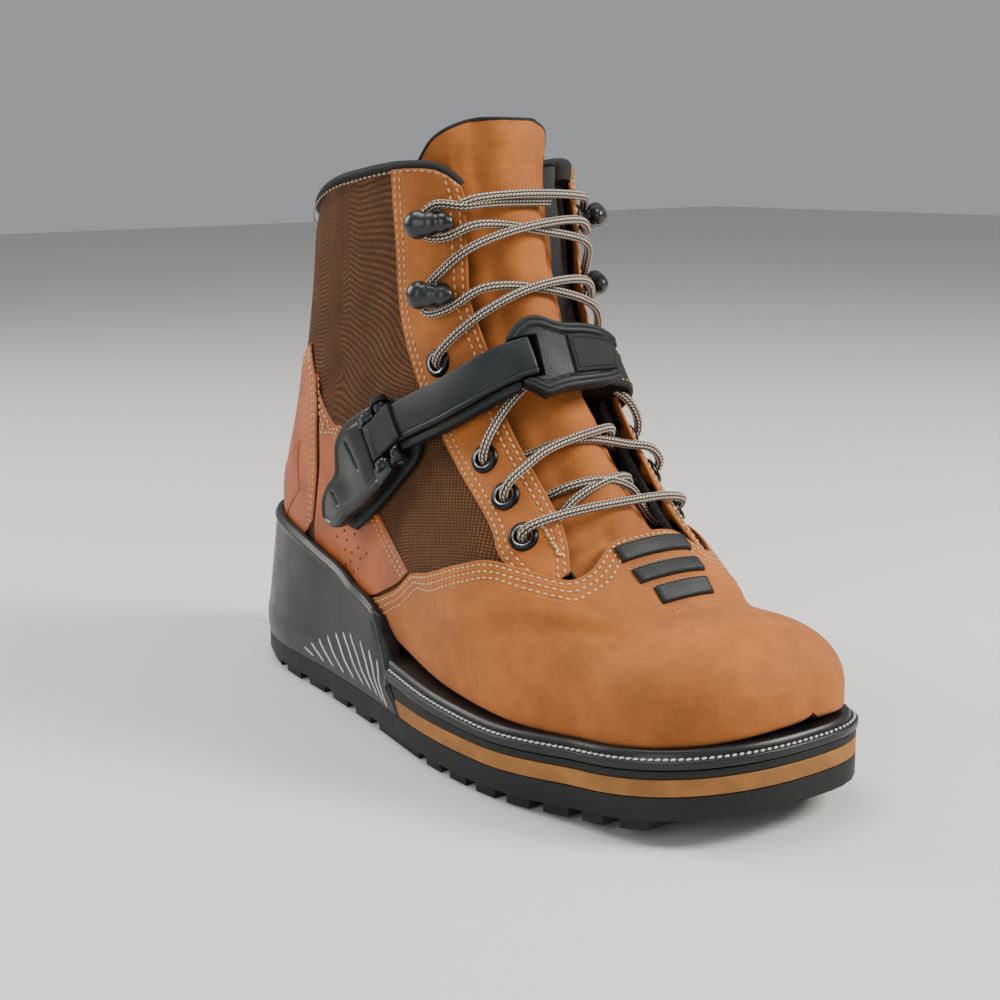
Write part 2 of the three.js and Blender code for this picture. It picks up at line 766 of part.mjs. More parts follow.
// A speed hook: a riveted foot, a neck and a three-lobed head that leans over the lace.
function hook(s, th, side) {
  const place = (g) => placeOn(g, s, th, 0);
  const foot = new THREE.CylinderGeometry(4.6, 5.2, 0.9, 12).rotateX(Math.PI / 2).translate(0, 0, 0.85);
  const stem = new THREE.CylinderGeometry(1.3, 1.3, 6.8, 8).rotateX(Math.PI / 2).translate(0, 0, 2);
  const neck = new THREE.CylinderGeometry(1.9, 2.2, 6, 8).rotateX(Math.PI / 2).translate(0, 0, 4.2);
  const lobes = hookLobes.map(([reach, height, diameter]) => (
    new THREE.SphereGeometry(diameter / 2, 7, 5).scale(1, 1, 0.75).translate(0, side * reach, height)));
  return join(...[foot, stem, neck, ...lobes].map(place));
}

// ---- instep buckle

// The buckle's own axes at the strap pin: d runs up the strap, w along the pin, n outwards.
const buckleAt = last(0.582, 77, 7.2);
const n0 = outward(0.582, 77);
const d0 = new THREE.Vector3(0.03 * kx, -0.781 * ky, 0.624 * kz);
d0.addScaledVector(n0, -d0.dot(n0)).normalize();
const w0 = n0.clone().cross(d0).normalize();
const buckleFrame = new THREE.Matrix4().makeBasis(d0, w0, n0).setPosition(buckleAt);
const onBuckle = (a, b, c) => new THREE.Vector3(a, b, c).applyMatrix4(buckleFrame);

// A flat plate in the buckle's d-w plane, from a Shape.
function plate(shape, low, high, steps = 6) {
  const geometry = new THREE.ExtrudeGeometry(shape, { depth: high - low, bevelEnabled: false,
    curveSegments: steps });
  geometry.translate(0, 0, low);
  return geometry.applyMatrix4(buckleFrame);
}

function buckleRod(a, c, from, to, radius, sides = 16) {
  return rod(onBuckle(a, from, c), onBuckle(a, to, c), radius, sides);
}

const axle = { a: toggleArm, c: -0.9 };
const leverLow = -leverThickness / 2;
const leverHigh = leverThickness / 2;
const halfWindow = strapWidth / 2 + 0.8;
const bossLength = 3;
const earRadius = 3.6;
const earWidth = 2.4;

// Outlines are drawn for a fork this wide, and spread with the strap.
const drawnFork = 8.55;
const spread = (b) => b + Math.sign(b) * (halfWindow - drawnFork) * Math.min(1, Math.abs(b) / drawnFork);

function leverShape() {
  const shoulder = toggleArm - earRadius - 2 * gap;
  const outside = halfWindow + bossLength;
  const shape = new THREE.Shape();
  const curve = (a1, b1, a2, b2, a3, b3) => shape.bezierCurveTo(a1, spread(b1), a2, spread(b2), a3,
    spread(b3));
  shape.moveTo(-31, spread(-15));
  curve(-20, -17, -8, -16.5, shoulder, -14.8);
  shape.lineTo(shoulder, -outside);
  shape.lineTo(toggleArm + 1, -outside);
  shape.lineTo(toggleArm + 1, outside);
  shape.lineTo(shoulder, outside);
  shape.lineTo(shoulder, spread(13.6));
  curve(1, 15.5, -8, 17, -18, 16);
  curve(-27, 14, -27, 8, -30, 4.5);
  curve(-35, 3.5, -44, 5, -47, -1);
  curve(-50, -9, -42, -17, -31, -15);
  return shape;
}

function lever() {
  const body = plate(leverShape(), leverLow, leverHigh, 5);
  const window = new THREE.Shape();
  window.moveTo(-barrelDiameter / 2 - 1.2, -halfWindow);
  window.lineTo(toggleArm + 10, -halfWindow);
  window.lineTo(toggleArm + 10, halfWindow);
  window.lineTo(-barrelDiameter / 2 - 1.2, halfWindow);
  const knuckles = [-1, 1].map((k) => buckleRod(0, 0, k * (halfWindow - 0.5), k * (halfWindow + 3.4),
    barrelDiameter / 2));
  const bosses = [-1, 1].map((k) => buckleRod(axle.a, axle.c, k * halfWindow,
    k * (halfWindow + bossLength), 2.8, 12));
  const open = cut(body, plate(window, -10, 10));
  const solid = join(open, ...knuckles, ...bosses);
  const bores = [
    buckleRod(0, 0, -30, 30, pinDiameter / 2 + gap / 2),
    buckleRod(axle.a, axle.c, -30, 30, pinDiameter / 2 + gap / 2),
  ];
  return cut(solid, ...bores);
}

function strapPin() {
  return buckleRod(0, 0, -halfWindow - 3, halfWindow + 3, pinDiameter / 2 - 0.15);
}

// ---- strap, shield and rails, which follow the ankle

// Stations of a centre line: s, angle, height above the upper, half width.
const strapRun = [[0.583, 70.3, 7.4, 7.3], [0.571, 62.5, 7.6, 7.6], [0.558, 53, 8, 7.75],
  [0.55, 42, 8.6, 7.75], [0.546, 31, 9.6, 7.6],
  [0.543, 21, 10.6, 7.4], [0.541, 13.5, 11, 7.2]];
const shieldRun = [[0.543, 21, 9, 9.6], [0.541, 12.5, 9, 15.4], [0.534, 4, 9, 13.2], [0.528, -6, 9, 11.4],
  [0.522, -13, 9, 8.4]];
const medialRun = [[0.53, -3, 5.1, 8], [0.525, -13, 5.1, 8], [0.525, -24, 6.2, 8], [0.53, -38, 5, 8],
  [0.545, -58, 2, 8],
  [0.56, -78, 1.9, 8], [0.575, -96, 1.9, 7]];

function station(run, t) {
  const place = t * (run.length - 1);
  return [0, 1, 2, 3].map((k) => along(run.map((row, i) => [i, row[k]]), place));
}

// A ribbon along such a line, `shift` to its upper side, of its own half width and thickness.
function ribbon({ run, from = 0, to = 1, steps, shift = 0, half, low, high }) {
  const value = (f, t, w) => (typeof f === 'function' ? f(t, w) : f);
  const point = (t) => last(...station(run, t).slice(0, 3));
  const rings = [];
  for (let i = 0; i <= steps; i += 1) {
    const t = mix(from, to, i / steps);
    const [s, th, , w] = station(run, t);
    const tangent = point(Math.min(1, t + 0.02)).sub(point(Math.max(0, t - 0.02))).normalize();
    const normal = outward(s, th);
    normal.addScaledVector(tangent, -normal.dot(tangent)).normalize();
    const side = normal.clone().cross(tangent).normalize();
    const halfWidth = value(half, t, w);
    const corners = [[-1, low], [1, low], [1, high], [-1, high]];
    rings.push(corners.map(([k, c]) => point(t)
      .addScaledVector(side, value(shift, t, w) + k * halfWidth)
      .addScaledVector(normal, value(c, t, w))));
  }
  return loft(rings);
}

function strap() {
  const half = strapThickness / 2;
  const band = ribbon({ run: strapRun, to: 0.99, steps: 14, half: (t, w) => w, low: -half, high: half });
  const knuckle = buckleRod(0, 0, -halfWindow + 1.2, halfWindow - 1.2, barrelDiameter / 2);
  const root = new THREE.Shape();
  root.moveTo(1, -halfWindow + 1.4);
  root.lineTo(17, -strapWidth / 2 - 0.4);
  root.lineTo(17, strapWidth / 2 - 3);
  root.lineTo(1, halfWindow - 1.4);
  const neck = plate(root, 0.9, 2.9);
  return cut(join(band, neck, knuckle), buckleRod(0, 0, -30, 30, pinDiameter / 2 + gap / 2));
}

// The base: a plate riveted to the upper under the lever, with ears for the axle, and a rim that
// carries on below the strap as far as the instep shield.
const baseLow = -5.9;
const baseHigh = -4.1;
const baseRivets = [[-28, -8], [-14, 6]];

function buckleBase() {
  const shape = new THREE.Shape();
  const curve = (a1, b1, a2, b2, a3, b3) => shape.bezierCurveTo(a1, spread(b1), a2, spread(b2), a3,
    spread(b3));
  shape.moveTo(-38, spread(-18));
  curve(-22, -19, -6, -18, 10, -17);
  curve(16, -16.5, 20, -14, 20, -9);
  shape.lineTo(20, spread(7));
  curve(16, 14, -8, 17, -18, 16);
  curve(-26, 13, -28, 7, -36, 4);
  curve(-46, 0, -46, -14, -38, -18);
  const body = plate(shape, baseLow, baseHigh, 4);
  const inner = halfWindow + bossLength + gap;
  const ears = [-1, 1].map((k) => buckleRod(axle.a, axle.c, k * inner, k * (inner + earWidth), earRadius,
    12));
  const rim = ribbon({
    run: strapRun, from: 0.03, to: 0.8, steps: 9, shift: (t, w) => -w - 2, half: 1.3, low: -4.6, high: -0.4,
  });
  const bores = baseRivets.map(([a, b]) => rod(onBuckle(a, b, -12), onBuckle(a, b, 12),
    rivetShank + gap / 2, 10));
  const bore = buckleRod(axle.a, axle.c, -40, 40, pinDiameter / 2);
  return cut(join(body, rim, ...ears), bore, ...bores);
}

const rivetShank = 1.6;

function rivet(at, shank) {
  const head = rod(at(0.3), at(1.2), rivetDiameter / 2, 14);
  return join(head, rod(at(-shank), at(0.6), rivetShank, 10));
}

const baseRivet = ([a, b]) => rivet((c) => onBuckle(a, b, baseHigh + c), 2);

function baseAxle() {
  const reach = halfWindow + bossLength + gap + earWidth;
  return buckleRod(axle.a, axle.c, -reach, reach, pinDiameter / 2 - 0.15);
}

// The instep shield: a curved plate with a fork that takes the strap's end, and a raised inlay.
const shieldLow = -2.8;
const shieldHigh = 2.6;

function instepShield() {
  const floor = ribbon({ run: shieldRun, from: 0.05, to: 0.55, steps: 6, half: (t, w) => w - 1.5,
    low: shieldLow, high: 0.2 });
  const body = ribbon({ run: shieldRun, from: 0.42, steps: 8, half: (t, w) => w, low: shieldLow,
    high: shieldHigh });
  const prong = (k) => ribbon({
    run: shieldRun,
    to: 0.55,
    steps: 6,
    shift: (t, w) => k * (w + strapWidth / 2 + 0.6) / 2,
    half: (t, w) => Math.max(0.6, (w - strapWidth / 2 - 0.6) / 2),
    low: shieldLow,
    high: 3.4,
  });
  const recess = ribbon({ run: shieldRun, from: 0.52, to: 0.93, steps: 6, half: (t, w) => w * 0.66,
    low: 0.6, high: 8 });
  return cut(join(floor, body, prong(-1), prong(1)), recess);
}

function shieldInlay() {
  return ribbon({ run: shieldRun, from: 0.55, to: 0.9, steps: 6, half: (t, w) => w * 0.66 - 1.1,
    low: 0.9, high: 3.4 });
}

// The strap on the medial side that the shield hangs from, with its anchor rivets.
const medialThickness = 1.6;
const medialRivets = [0.9, 0.97];

function onMedial(t, c) {
  const [s, th, h] = station(medialRun, t);
  return last(s, th, h).addScaledVector(outward(s, th), c);
}

function medialStrap() {
  const half = medialThickness / 2;
  const band = ribbon({ run: medialRun, steps: 16, half: (t, w) => w, low: -half, high: half });
  return cut(band, ...medialRivets.map((t) => rod(onMedial(t, -5), onMedial(t, 5), rivetShank + gap, 10)));
}

const medialRivet = (t) => rivet((c) => onMedial(t, medialThickness / 2 + c), medialThickness / 2 + 0.4);

// ---- lace

// One lace: points as [s, angle, height], from its end on the lateral side of the tongue, down
// through the eyelets to the lowest bar, and up the other side to its other end.
const under = liningBottom - 2 * gap - laceDiameter / 2;
const onTongue = -2.2;
const overTongue = 1.6;

// Out of the eyelet on one side, over the tongue, and in under the eyestay on the other side.
function crossing(from, to, side, height) {
  const [s0, th0] = from;
  const [s1, th1] = to;
  const at = (f) => mix(s0, s1, f);
  return [
    [s0, side * th0, -4.2], [s0, side * th0, 2], [at(0.05), side * (th0 - 3.5), 4.2], [at(0.17),
      side * (th0 - 12), 3.4],
    [at(0.3), side * 20, height + 1.2], [at(0.48), 0, height], [at(0.57), -side * 8, height - 1],
      [at(0.66), -side * 16, -5.8],
    [at(0.76), -side * 23, under], [at(0.92), -side * (th1 - 7), under], [s1, -side * (th1 - 1.5),
      under + 0.5],
  ];
}

// Up from an eyelet or a hook to a hook on the other side, and round its neck.
function toHook(from, to, side, height, out) {
  const [s0, th0] = from;
  const [s1, th1] = to;
  const at = (f) => mix(s0, s1, f);
  const start = out ? [[s0, side * th0, -4.2], [s0, side * th0, 2], [at(0.06), side * (th0 - 3.5),
    4.2]] : [];
  return [
    ...start, [at(0.25), side * 30, 3.4], [at(0.5), side * 4, height], [at(0.72), -side * 24, 2.6],
    [s1 - 0.036, -side * (th1 - 4), 3.4], [s1 - 0.018, -side * (th1 + 6.5), 3.2], [s1 + 0.014,
      -side * (th1 + 7.5), 3.2],
    [s1 + 0.034, -side * (th1 - 1), 3],
  ];
}

function laceRoute() {
  const [e1, e2, e3, e4] = eyelets;
  const [h1, h2] = hooks;
  const inside = [[e1[0], e1[1], -4.2], [e1[0] + 0.001, e1[1] - 2.5, under + 0.2], [0.372, 24, under],
    [0.378, 14, -5.4],
    [0.385, 0, onTongue - 0.6], [0.394, -14, -5.4], [0.4, -24, under], [e2[0] - 0.002, -(e2[1] - 4),
      under]];
  const turned = (points) => points.map(([s, th, h]) => [s, -th, h]);
  const chain = (side, low, high) => [
    ...(side > 0 ? inside : turned(inside)),
    ...crossing(e2, e3, -side, low),
    ...crossing(e3, e4, side, high),
    ...toHook(e4, h1, -side, low + 1, true),
    ...toHook([h1[0] + 0.03, h1[1]], h2, side, high + 0.4, false),
  ];
  const first = [...chain(1, onTongue, overTongue), [0.885, -25, 2.6], [0.888, 0, 1.6], [0.884, 22, 2.4],
    [0.878, 30, 2.6]];
  const second = [...chain(-1, overTongue, onTongue), [0.872, 30, 2.6], [0.873, 18, 0.2], [0.874, 6,
    -1.6], [0.872, -8, -1.8]];
  const bar = [[e1[0], -e1[1], 1.8], [e1[0] - 0.003, -e1[1] + 4, 4], [0.35, -22, 2.6], [0.348, 0, 0.4],
    [0.35, 22, 2.6],
    [e1[0] - 0.003, e1[1] - 4, 4], [e1[0], e1[1], 1.8]];
  return [...second.reverse(), ...bar, ...first];
}

function lace() {
  const points = laceRoute().map(([s, th, h]) => last(s, th, h));
  const curve = new THREE.CatmullRomCurve3(points, false, 'centripetal');
  curve.getUtoTmapping = (u) => u;
  const section = new THREE.Shape();
  section.absarc(0, 0, laceDiameter / 2, 0, 2 * Math.PI);
  return new THREE.ExtrudeGeometry(section, { steps: points.length - 1, curveSegments: 4,
    extrudePath: curve, bevelEnabled: false });
}

add('outsole', outsole(), rubber, 0.8);
add('midsole_stripe', forefootLayer(level(stripeBottom), level(stripeTop), soleMargin), 0xb07a38, 0.7);
add('midsole', forefootLayer(level(midsoleBottom), (y) => midsoleTop + 0.5 * rise(y), soleMargin),
  rubber, 0.6);
add('welt', welt(), 0x1a2422, 0.5);
add('heel_cup', heelCup(), 0x0e1413, 0.35);
add('insole_board', insoleBoard(), 0xb9a98c, 0.9);
add('shank', shank(), steel, 0.4, 1);
add('footbed', footbed(), 0x222222, 0.9);
add('toe_cap_steel', toeCap(), steel, 0.4, 1);
add('toe_lining', toeLining(), 0x3a3a3a, 0.9);
add('quarter_lining', quarterLining(), 0x1a1a1a, 0.9);
add('vamp', vamp(), nubuck, 0.8);
[['lateral', 1], ['medial', -1]].forEach(([word, side]) => {
  add(`quarter_${word}`, quarter(side), weave, 0.9);
  add(`eyestay_${word}`, eyestay(side), nubuck, 0.8);
  add(`counter_${word}`, counter(side), darkLeather, 0.8);
});
add('backstay', backstay(), darkLeather, 0.8);
add('tongue', tongueLayer(-1.6, 0, 0), nubuck, 0.8);
add('tongue_lining', tongueLayer(-1.6 - plyGap - 3, -1.6 - plyGap, 2), 0x1a1a1a, 0.9);
add('collar_binding', collarBinding(), black, 0.7);
bars.forEach((bar, i) => add(`vamp_bar_${i + 1}`, vampBar(bar), black, 0.6));
[['lateral', 1], ['medial', -1]].forEach(([word, side]) => {
  eyelets.forEach(([s, th], i) => add(`eyelet_${word}_${i + 1}`, eyelet(s, side * th), 0x15191a, 0.3, 0.9));
  hooks.forEach(([s, th], i) => add(`hook_${word}_${i + 1}`, hook(s, side * th, side), 0x15191a, 0.35,
    0.6));
});
add('buckle_base', buckleBase(), black, 0.55);
add('buckle_axle', baseAxle(), gunmetal, 0.3, 1);
add('buckle_lever', lever(), 0x16201f, 0.4);
add('strap_pin', strapPin(), gunmetal, 0.3, 1);
add('strap', strap(), 0x28302f, 0.5);
add('instep_shield', instepShield(), black, 0.5);
add('shield_inlay', shieldInlay(), 0x1b2120, 0.3);
add('medial_strap', medialStrap(), 0x28302f, 0.5);
baseRivets.forEach((at, i) => add(`base_rivet_${i + 1}`, baseRivet(at), gunmetal, 0.3, 1));
medialRivets.forEach((at, i) => add(`medial_rivet_${i + 1}`, medialRivet(at), gunmetal, 0.3, 1));
add('lace', lace(), 0x2a201b, 0.9);

export default boot;
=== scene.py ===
"""A steel toe work boot in its finished materials, built on the packed CAD model."""

import math

import bmesh
import bpy
import numpy as np
from mathutils import Matrix, Vector
from mathutils.bvhtree import BVHTree


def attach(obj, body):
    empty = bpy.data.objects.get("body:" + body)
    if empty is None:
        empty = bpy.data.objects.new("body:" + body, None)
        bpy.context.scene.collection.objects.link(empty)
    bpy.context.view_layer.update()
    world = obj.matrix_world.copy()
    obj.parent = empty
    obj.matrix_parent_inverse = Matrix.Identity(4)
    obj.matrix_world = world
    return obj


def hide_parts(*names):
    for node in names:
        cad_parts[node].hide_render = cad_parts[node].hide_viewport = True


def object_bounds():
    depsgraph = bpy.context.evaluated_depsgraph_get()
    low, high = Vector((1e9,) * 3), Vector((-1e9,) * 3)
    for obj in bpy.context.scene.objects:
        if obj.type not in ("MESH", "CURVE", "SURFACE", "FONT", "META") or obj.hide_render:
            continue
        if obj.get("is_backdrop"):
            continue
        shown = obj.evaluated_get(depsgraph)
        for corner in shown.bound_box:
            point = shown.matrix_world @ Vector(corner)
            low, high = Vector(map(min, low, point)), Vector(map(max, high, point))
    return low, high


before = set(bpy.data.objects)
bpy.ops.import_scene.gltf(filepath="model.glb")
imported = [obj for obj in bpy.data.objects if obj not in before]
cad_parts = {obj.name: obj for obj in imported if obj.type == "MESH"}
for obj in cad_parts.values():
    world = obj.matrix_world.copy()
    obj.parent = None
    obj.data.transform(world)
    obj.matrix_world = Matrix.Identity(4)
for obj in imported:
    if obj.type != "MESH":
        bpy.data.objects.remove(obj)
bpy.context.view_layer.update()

bl_info = {
    "name": "Work Boot Looks",
    "version": (1, 0, 0),
    "blender": (4, 5, 0),
    "location": "View3D > Sidebar > Work Boot",
    "description": "Dresses the CAD work boot in leather, weave, rubber, stitching and lacing",
    "category": "Object",
}

MM = 0.001
BODY = "boot"


# ---------------------------------------------------------------- sizes and colours


class BootSizes(bpy.types.PropertyGroup):
    leather: bpy.props.FloatProperty(
        name="Leather", description="Thickness of the upper leather", default=1.6 * MM, unit="LENGTH"
    )
    stitch_pitch: bpy.props.FloatProperty(
        name="Stitch pitch", description="Distance from one stitch to the next",
        default=2.9 * MM, unit="LENGTH",
    )
    thread: bpy.props.FloatProperty(
        name="Thread", description="Width of the sewing thread", default=0.95 * MM, unit="LENGTH"
    )
    row_gap: bpy.props.FloatProperty(
        name="Row gap", description="Distance between the rows of a double seam",
        default=2.6 * MM, unit="LENGTH",
    )
    lace: bpy.props.FloatProperty(
        name="Lace", description="Diameter of the round lace", default=3.2 * MM, unit="LENGTH"
    )
    weave_pitch: bpy.props.FloatProperty(
        name="Weave pitch", description="Distance between the yarns of the textile",
        default=1.05 * MM, unit="LENGTH",
    )
    detail: bpy.props.FloatProperty(
        name="Detail", description="Spacing of the mesh rows on the upper", default=1.4 * MM, unit="LENGTH"
    )


def tint(name, description, default):
    return bpy.props.FloatVectorProperty(
        name=name, description=description, default=default, subtype="COLOR", min=0, max=1, size=3
    )


class BootColours(bpy.types.PropertyGroup):
    nubuck: tint("Nubuck", "Orange-tan brushed leather", (0.37, 0.112, 0.019))
    waxed: tint("Waxed leather", "Darker leather of the counters and the backstay", (0.33, 0.078, 0.015))
    yarn: tint("Yarn", "Light yarns of the textile quarters", (0.20, 0.082, 0.03))
    # The dark yarn colour, which the weave also paints as shade into the gaps between its yarns.
    shade: tint("Yarn shade", "Dark yarns of the textile quarters", (0.026, 0.011, 0.006))
    thread: tint("Thread", "Sewing thread of the upper", (0.78, 0.5, 0.26))
    welt_thread: tint("Welt thread", "Sewing thread of the welt", (0.72, 0.71, 0.68))
    cream: tint("Lace cream", "Light ticks of the lace", (0.72, 0.6, 0.45))
    lace: tint("Lace dark", "Ground colour of the lace", (0.028, 0.019, 0.014))
    tan_rubber: tint("Tan rubber", "Stripe round the midsole", (0.26, 0.11, 0.026))
    black_rubber: tint("Black rubber", "Outsole, midsole and welt", (0.006, 0.007, 0.007))
    nylon: tint("Nylon", "Moulded parts of the buckle", (0.006, 0.009, 0.009))
    floor: tint("Floor", "Studio floor", (0.66, 0.65, 0.63))


def sizes():
    return bpy.context.scene.boot_sizes


def colours():
    return bpy.context.scene.boot_colours


# ---------------------------------------------------------------- the last

DEG = math.pi / 180
FEATHER = 26.0
FIRST_SECTION = 0.2
SECTION_STEP = 0.08
SECTIONS = np.array([
    [-100, 38, -100, -1, 53, 39, 0.30, 2.4, 8],
    [-82, 55, -66, 0, 58, 46, 0.30, 2.2, 8],
    [-64, 76, -26, 1.5, 57, 47, 0.32, 2.3, 7],
    [-48, 96, 22, 4.2, 50, 45, 0.36, 2.5, 5],
    [-35, 115, 78, 8, 44, 43, 0.42, 2.8, 3],
    [-26, 132, 130, 12, 42, 42, 0.46, 2.9, 2.6],
    [-19, 147, 150, 34, 41, 42, 0.50, 3.0, 2.4],
    [-15, 161, 137, 79, 40, 42, 0.50, 3.0, 2.2],
    [-12, 174, 121, 124, 41, 42, 0.50, 3.1, 2.2],
    [-9, 186, 112, 159, 42, 42, 0.50, 3.1, 2.2],
    [-6, 198, 107, 190, 42, 42, 0.50, 3.1, 2.2],
])
TOE_LENGTH = 49
TOE_CENTRE = 3
TOE_PLAN = 2.5
TOE_PROFILE = 2.3
TOE_SPRING = 7.5
TOE_SWING = 9


def smooth(t):
    t = np.clip(t, 0, 1)
    return t * t * (3 - 2 * t)


def mix(a, b, t):
    return a + (b - a) * t


def column(k, s):
    """One column of the section table, read smoothly at s."""
    values = SECTIONS[:, k]
    last_row = len(values) - 1
    at = (s - FIRST_SECTION) / SECTION_STEP
    i = np.clip(np.floor(at).astype(int), 0, last_row - 1)
    t = at - i
    a, b = values[i], values[i + 1]
    ma = np.where(i == 0, b - a, (b - values[np.maximum(i - 1, 0)]) / 2)
    mb = np.where(i == last_row - 1, b - a, (values[np.minimum(i + 2, last_row)] - a) / 2)
    t2, t3 = t * t, t * t * t
    curve = (2 * t3 - 3 * t2 + 1) * a + (t3 - 2 * t2 + t) * ma + (3 * t2 - 2 * t3) * b + (t3 - t2) * mb
    return np.where(t < 0, a, np.where(t > 1, b + (t - 1) * mb, curve))


def toe_forward(y):
    return np.maximum(0, (-60 - y) / 90)


def spring(y):
    return TOE_SPRING * toe_forward(y) ** 1.5


def swing(y):
    return TOE_SWING * toe_forward(y) ** 2


def last(s, th, h=0.0):
    """Points of the upper grown by h millimetres, in millimetres."""
    s, th, h = np.broadcast_arrays(np.asarray(s, float), np.asarray(th, float), np.asarray(h, float))
    fy, fz, by, bz, wl, wm, belly, nt, nb = [column(k, s) for k in range(9)]
    toe = s < FIRST_SECTION
    phi = np.where(toe, np.clip(s / FIRST_SECTION, 0, 1), 1) * math.pi / 2
    across = np.sin(phi) ** (2 / TOE_PLAN)
    up = np.sin(phi) ** (2 / TOE_PROFILE)
    ahead = np.abs(np.cos(phi)) ** (2 / TOE_PLAN)
    pivot = bz + 0.6 * belly * (fz - bz)
    fz = np.where(toe, pivot + (fz - pivot) * up, fz)
    bz = np.minimum(np.where(toe, pivot - (pivot - bz) * up, bz), np.where(toe, fz, bz))
    tip = SECTIONS[0, 0] - (TOE_LENGTH + h) * ahead
    fy = np.where(toe, tip, fy)
    by = np.where(toe, tip, by)
    reach = np.hypot(fy - by, fz - bz) + 1e-6
    ey = np.where(toe, 0, (fy - by) / reach)
    ez = np.where(toe, 1, (fz - bz) / reach)
    angle = th * DEG
    c, sn = np.cos(angle), np.sin(angle)
    front = c >= 0
    exponent = np.where(front, nt, nb)
    half = np.where(front, 1 - belly, belly) * reach + h * up
    width = (np.where(sn >= 0, wl, wm) + h) * across
    drop = belly * reach + half * np.sign(c) * np.abs(c) ** (2 / exponent)
    y = by + ey * drop
    centre = TOE_CENTRE * np.clip((0.36 - s) / 0.16, 0, 1)
    x = centre + np.where(sn >= 0, -1, 1) * width * np.abs(sn) ** (2 / exponent)
    return np.stack([x + swing(y), y, FEATHER + bz + ez * drop + spring(y)], -1)


def outward(s, th):
    """The outward direction of the upper."""
    s, th = np.broadcast_arrays(np.asarray(s, float), np.asarray(th, float))
    e = np.minimum(0.002, s / 3)
    ds = last(s + e, th) - last(s - e, th)
    dt = last(s, th + 0.3) - last(s, th - 0.3)
    n = np.cross(ds, dt)
    return n / (np.linalg.norm(n, axis=-1, keepdims=True) + 1e-12)


def along(pairs, t):
    """A smooth value read from [position, value] pairs."""
    table = np.array(pairs, float)
    x, v = table[:, 0], table[:, 1]
    t = np.asarray(t, float)
    top = len(x) - 2
    i = np.clip(np.searchsorted(x, t, side="left") - 1, 0, top)
    width = x[i + 1] - x[i]
    f = np.clip((t - x[i]) / width, 0, 1)
    rise = v[i + 1] - v[i]
    before, after = np.maximum(i - 1, 0), np.minimum(i + 2, len(x) - 1)
    ma = np.where(i == 0, rise, (v[i + 1] - v[before]) / (x[i + 1] - x[before]) * width)
    mb = np.where(i == top, rise, (v[after] - v[i]) / (x[after] - x[i]) * width)
    f2, f3 = f * f, f * f * f
    ends = (2 * f3 - 3 * f2 + 1) * v[i], (3 * f2 - 2 * f3) * v[i + 1]
    slopes = (f3 - 2 * f2 + f) * ma, (f3 - f2) * mb
    return ends[0] + slopes[0] + ends[1] + slopes[1]


# ---------------------------------------------------------------- outlines on the last

EYESTAY_FRONT = [(0.3, 33), (0.325, 28), (0.352, 25.5), (0.39, 26), (0.441, 28.5), (0.5, 30.5),
                 (0.583, 29), (0.635, 30), (0.711, 32), (0.814, 30), (0.888, 27.5), (0.935, 29)]
EYESTAY_BACK = [(0.3, 50), (0.364, 54), (0.392, 52.5), (0.437, 54.5), (0.483, 57.5), (0.523, 59.5), (0.625, 61),
                (0.691, 64), (0.763, 68), (0.838, 69.5), (0.984, 69.5)]
COLLAR = [(28, 0.925), (32, 0.945), (40, 0.968), (51, 0.98), (72, 0.986), (100, 0.98), (135, 0.958),
          (180, 0.948)]
VAMP_EDGE = [(0, 0.306), (7, 0.306), (15, 0.303), (20, 0.294), (27, 0.285), (35.5, 0.288), (42.5, 0.31),
             (49, 0.334), (58, 0.366), (70, 0.394), (83.5, 0.427), (91.5, 0.457), (105, 0.475), (120, 0.49),
             (150, 0.5)]
COUNTER_FRONT = [(0.44, 90), (0.515, 89.5), (0.645, 88.5), (0.7, 93.5), (0.765, 108)]
BACKSTAY_SEAM = [(0.5, 145), (0.56, 128), (0.593, 111), (0.617, 103), (0.651, 98.5), (0.705, 99), (0.753, 105),
                 (0.8, 116)]
TONGUE_TOP = [(-46, 1.0), (-30, 1.045), (0, 1.07), (20, 1.062), (45, 1.03), (62, 0.985)]
EYELETS = [(0.36, 41.5), (0.412, 42), (0.466, 45), (0.626, 51)]
HOOKS = [(0.726, 46), (0.853, 45)]
BINDING = 0.011
LINING_BOTTOM = -6.5


def collar_at(th):
    th = np.asarray(th, float)
    return along(COLLAR, np.abs(np.where(th > 180, 360 - th, th)))


def vamp_edge(th):
    return along(VAMP_EDGE, np.abs(th))


def vamp_lift(s, th):
    near = smooth((s - vamp_edge(th) + 0.1) / 0.04)
    return 2.3 * near * (1 - smooth((np.abs(th) - 84) / 10))


def tongue_dip(th):
    return mix(-5.0, -11.4, smooth(np.abs(th) / 18))


def tongue_lean(s):
    return 3 * smooth((s - 0.93) / 0.12)


# ---------------------------------------------------------------- materials


class Value:
    """A number on its way through a material: arithmetic on it adds Math nodes."""

    def __init__(self, finish, socket):
        self.finish = finish
        self.socket = socket

    def math(self, operation, *others):
        inputs = {i: value for i, value in enumerate((self, *others))}
        return self.finish.node("ShaderNodeMath", {"operation": operation}, inputs)

    def reflected(self, operation, other):
        return self.finish.node("ShaderNodeMath", {"operation": operation}, {0: other, 1: self})

    def __add__(self, other):
        return self.math("ADD", other)

    def __radd__(self, other):
        return self.reflected("ADD", other)

    def __sub__(self, other):
        return self.math("SUBTRACT", other)

    def __rsub__(self, other):
        return self.reflected("SUBTRACT", other)

    def __mul__(self, other):
        return self.math("MULTIPLY", other)

    def __rmul__(self, other):
        return self.reflected("MULTIPLY", other)

    def __truediv__(self, other):
        return self.math("DIVIDE", other)

    def __pow__(self, other):
        return self.math("POWER", other)

    def sine(self):
        return self.math("SINE")

    def size(self):
        return self.math("ABSOLUTE")

    def smooth(self, low, high):
        settings = {"interpolation_type": "SMOOTHSTEP"}
        return self.finish.node("ShaderNodeMapRange", settings, {0: self, 1: low, 2: high, 3: 0.0, 4: 1.0})


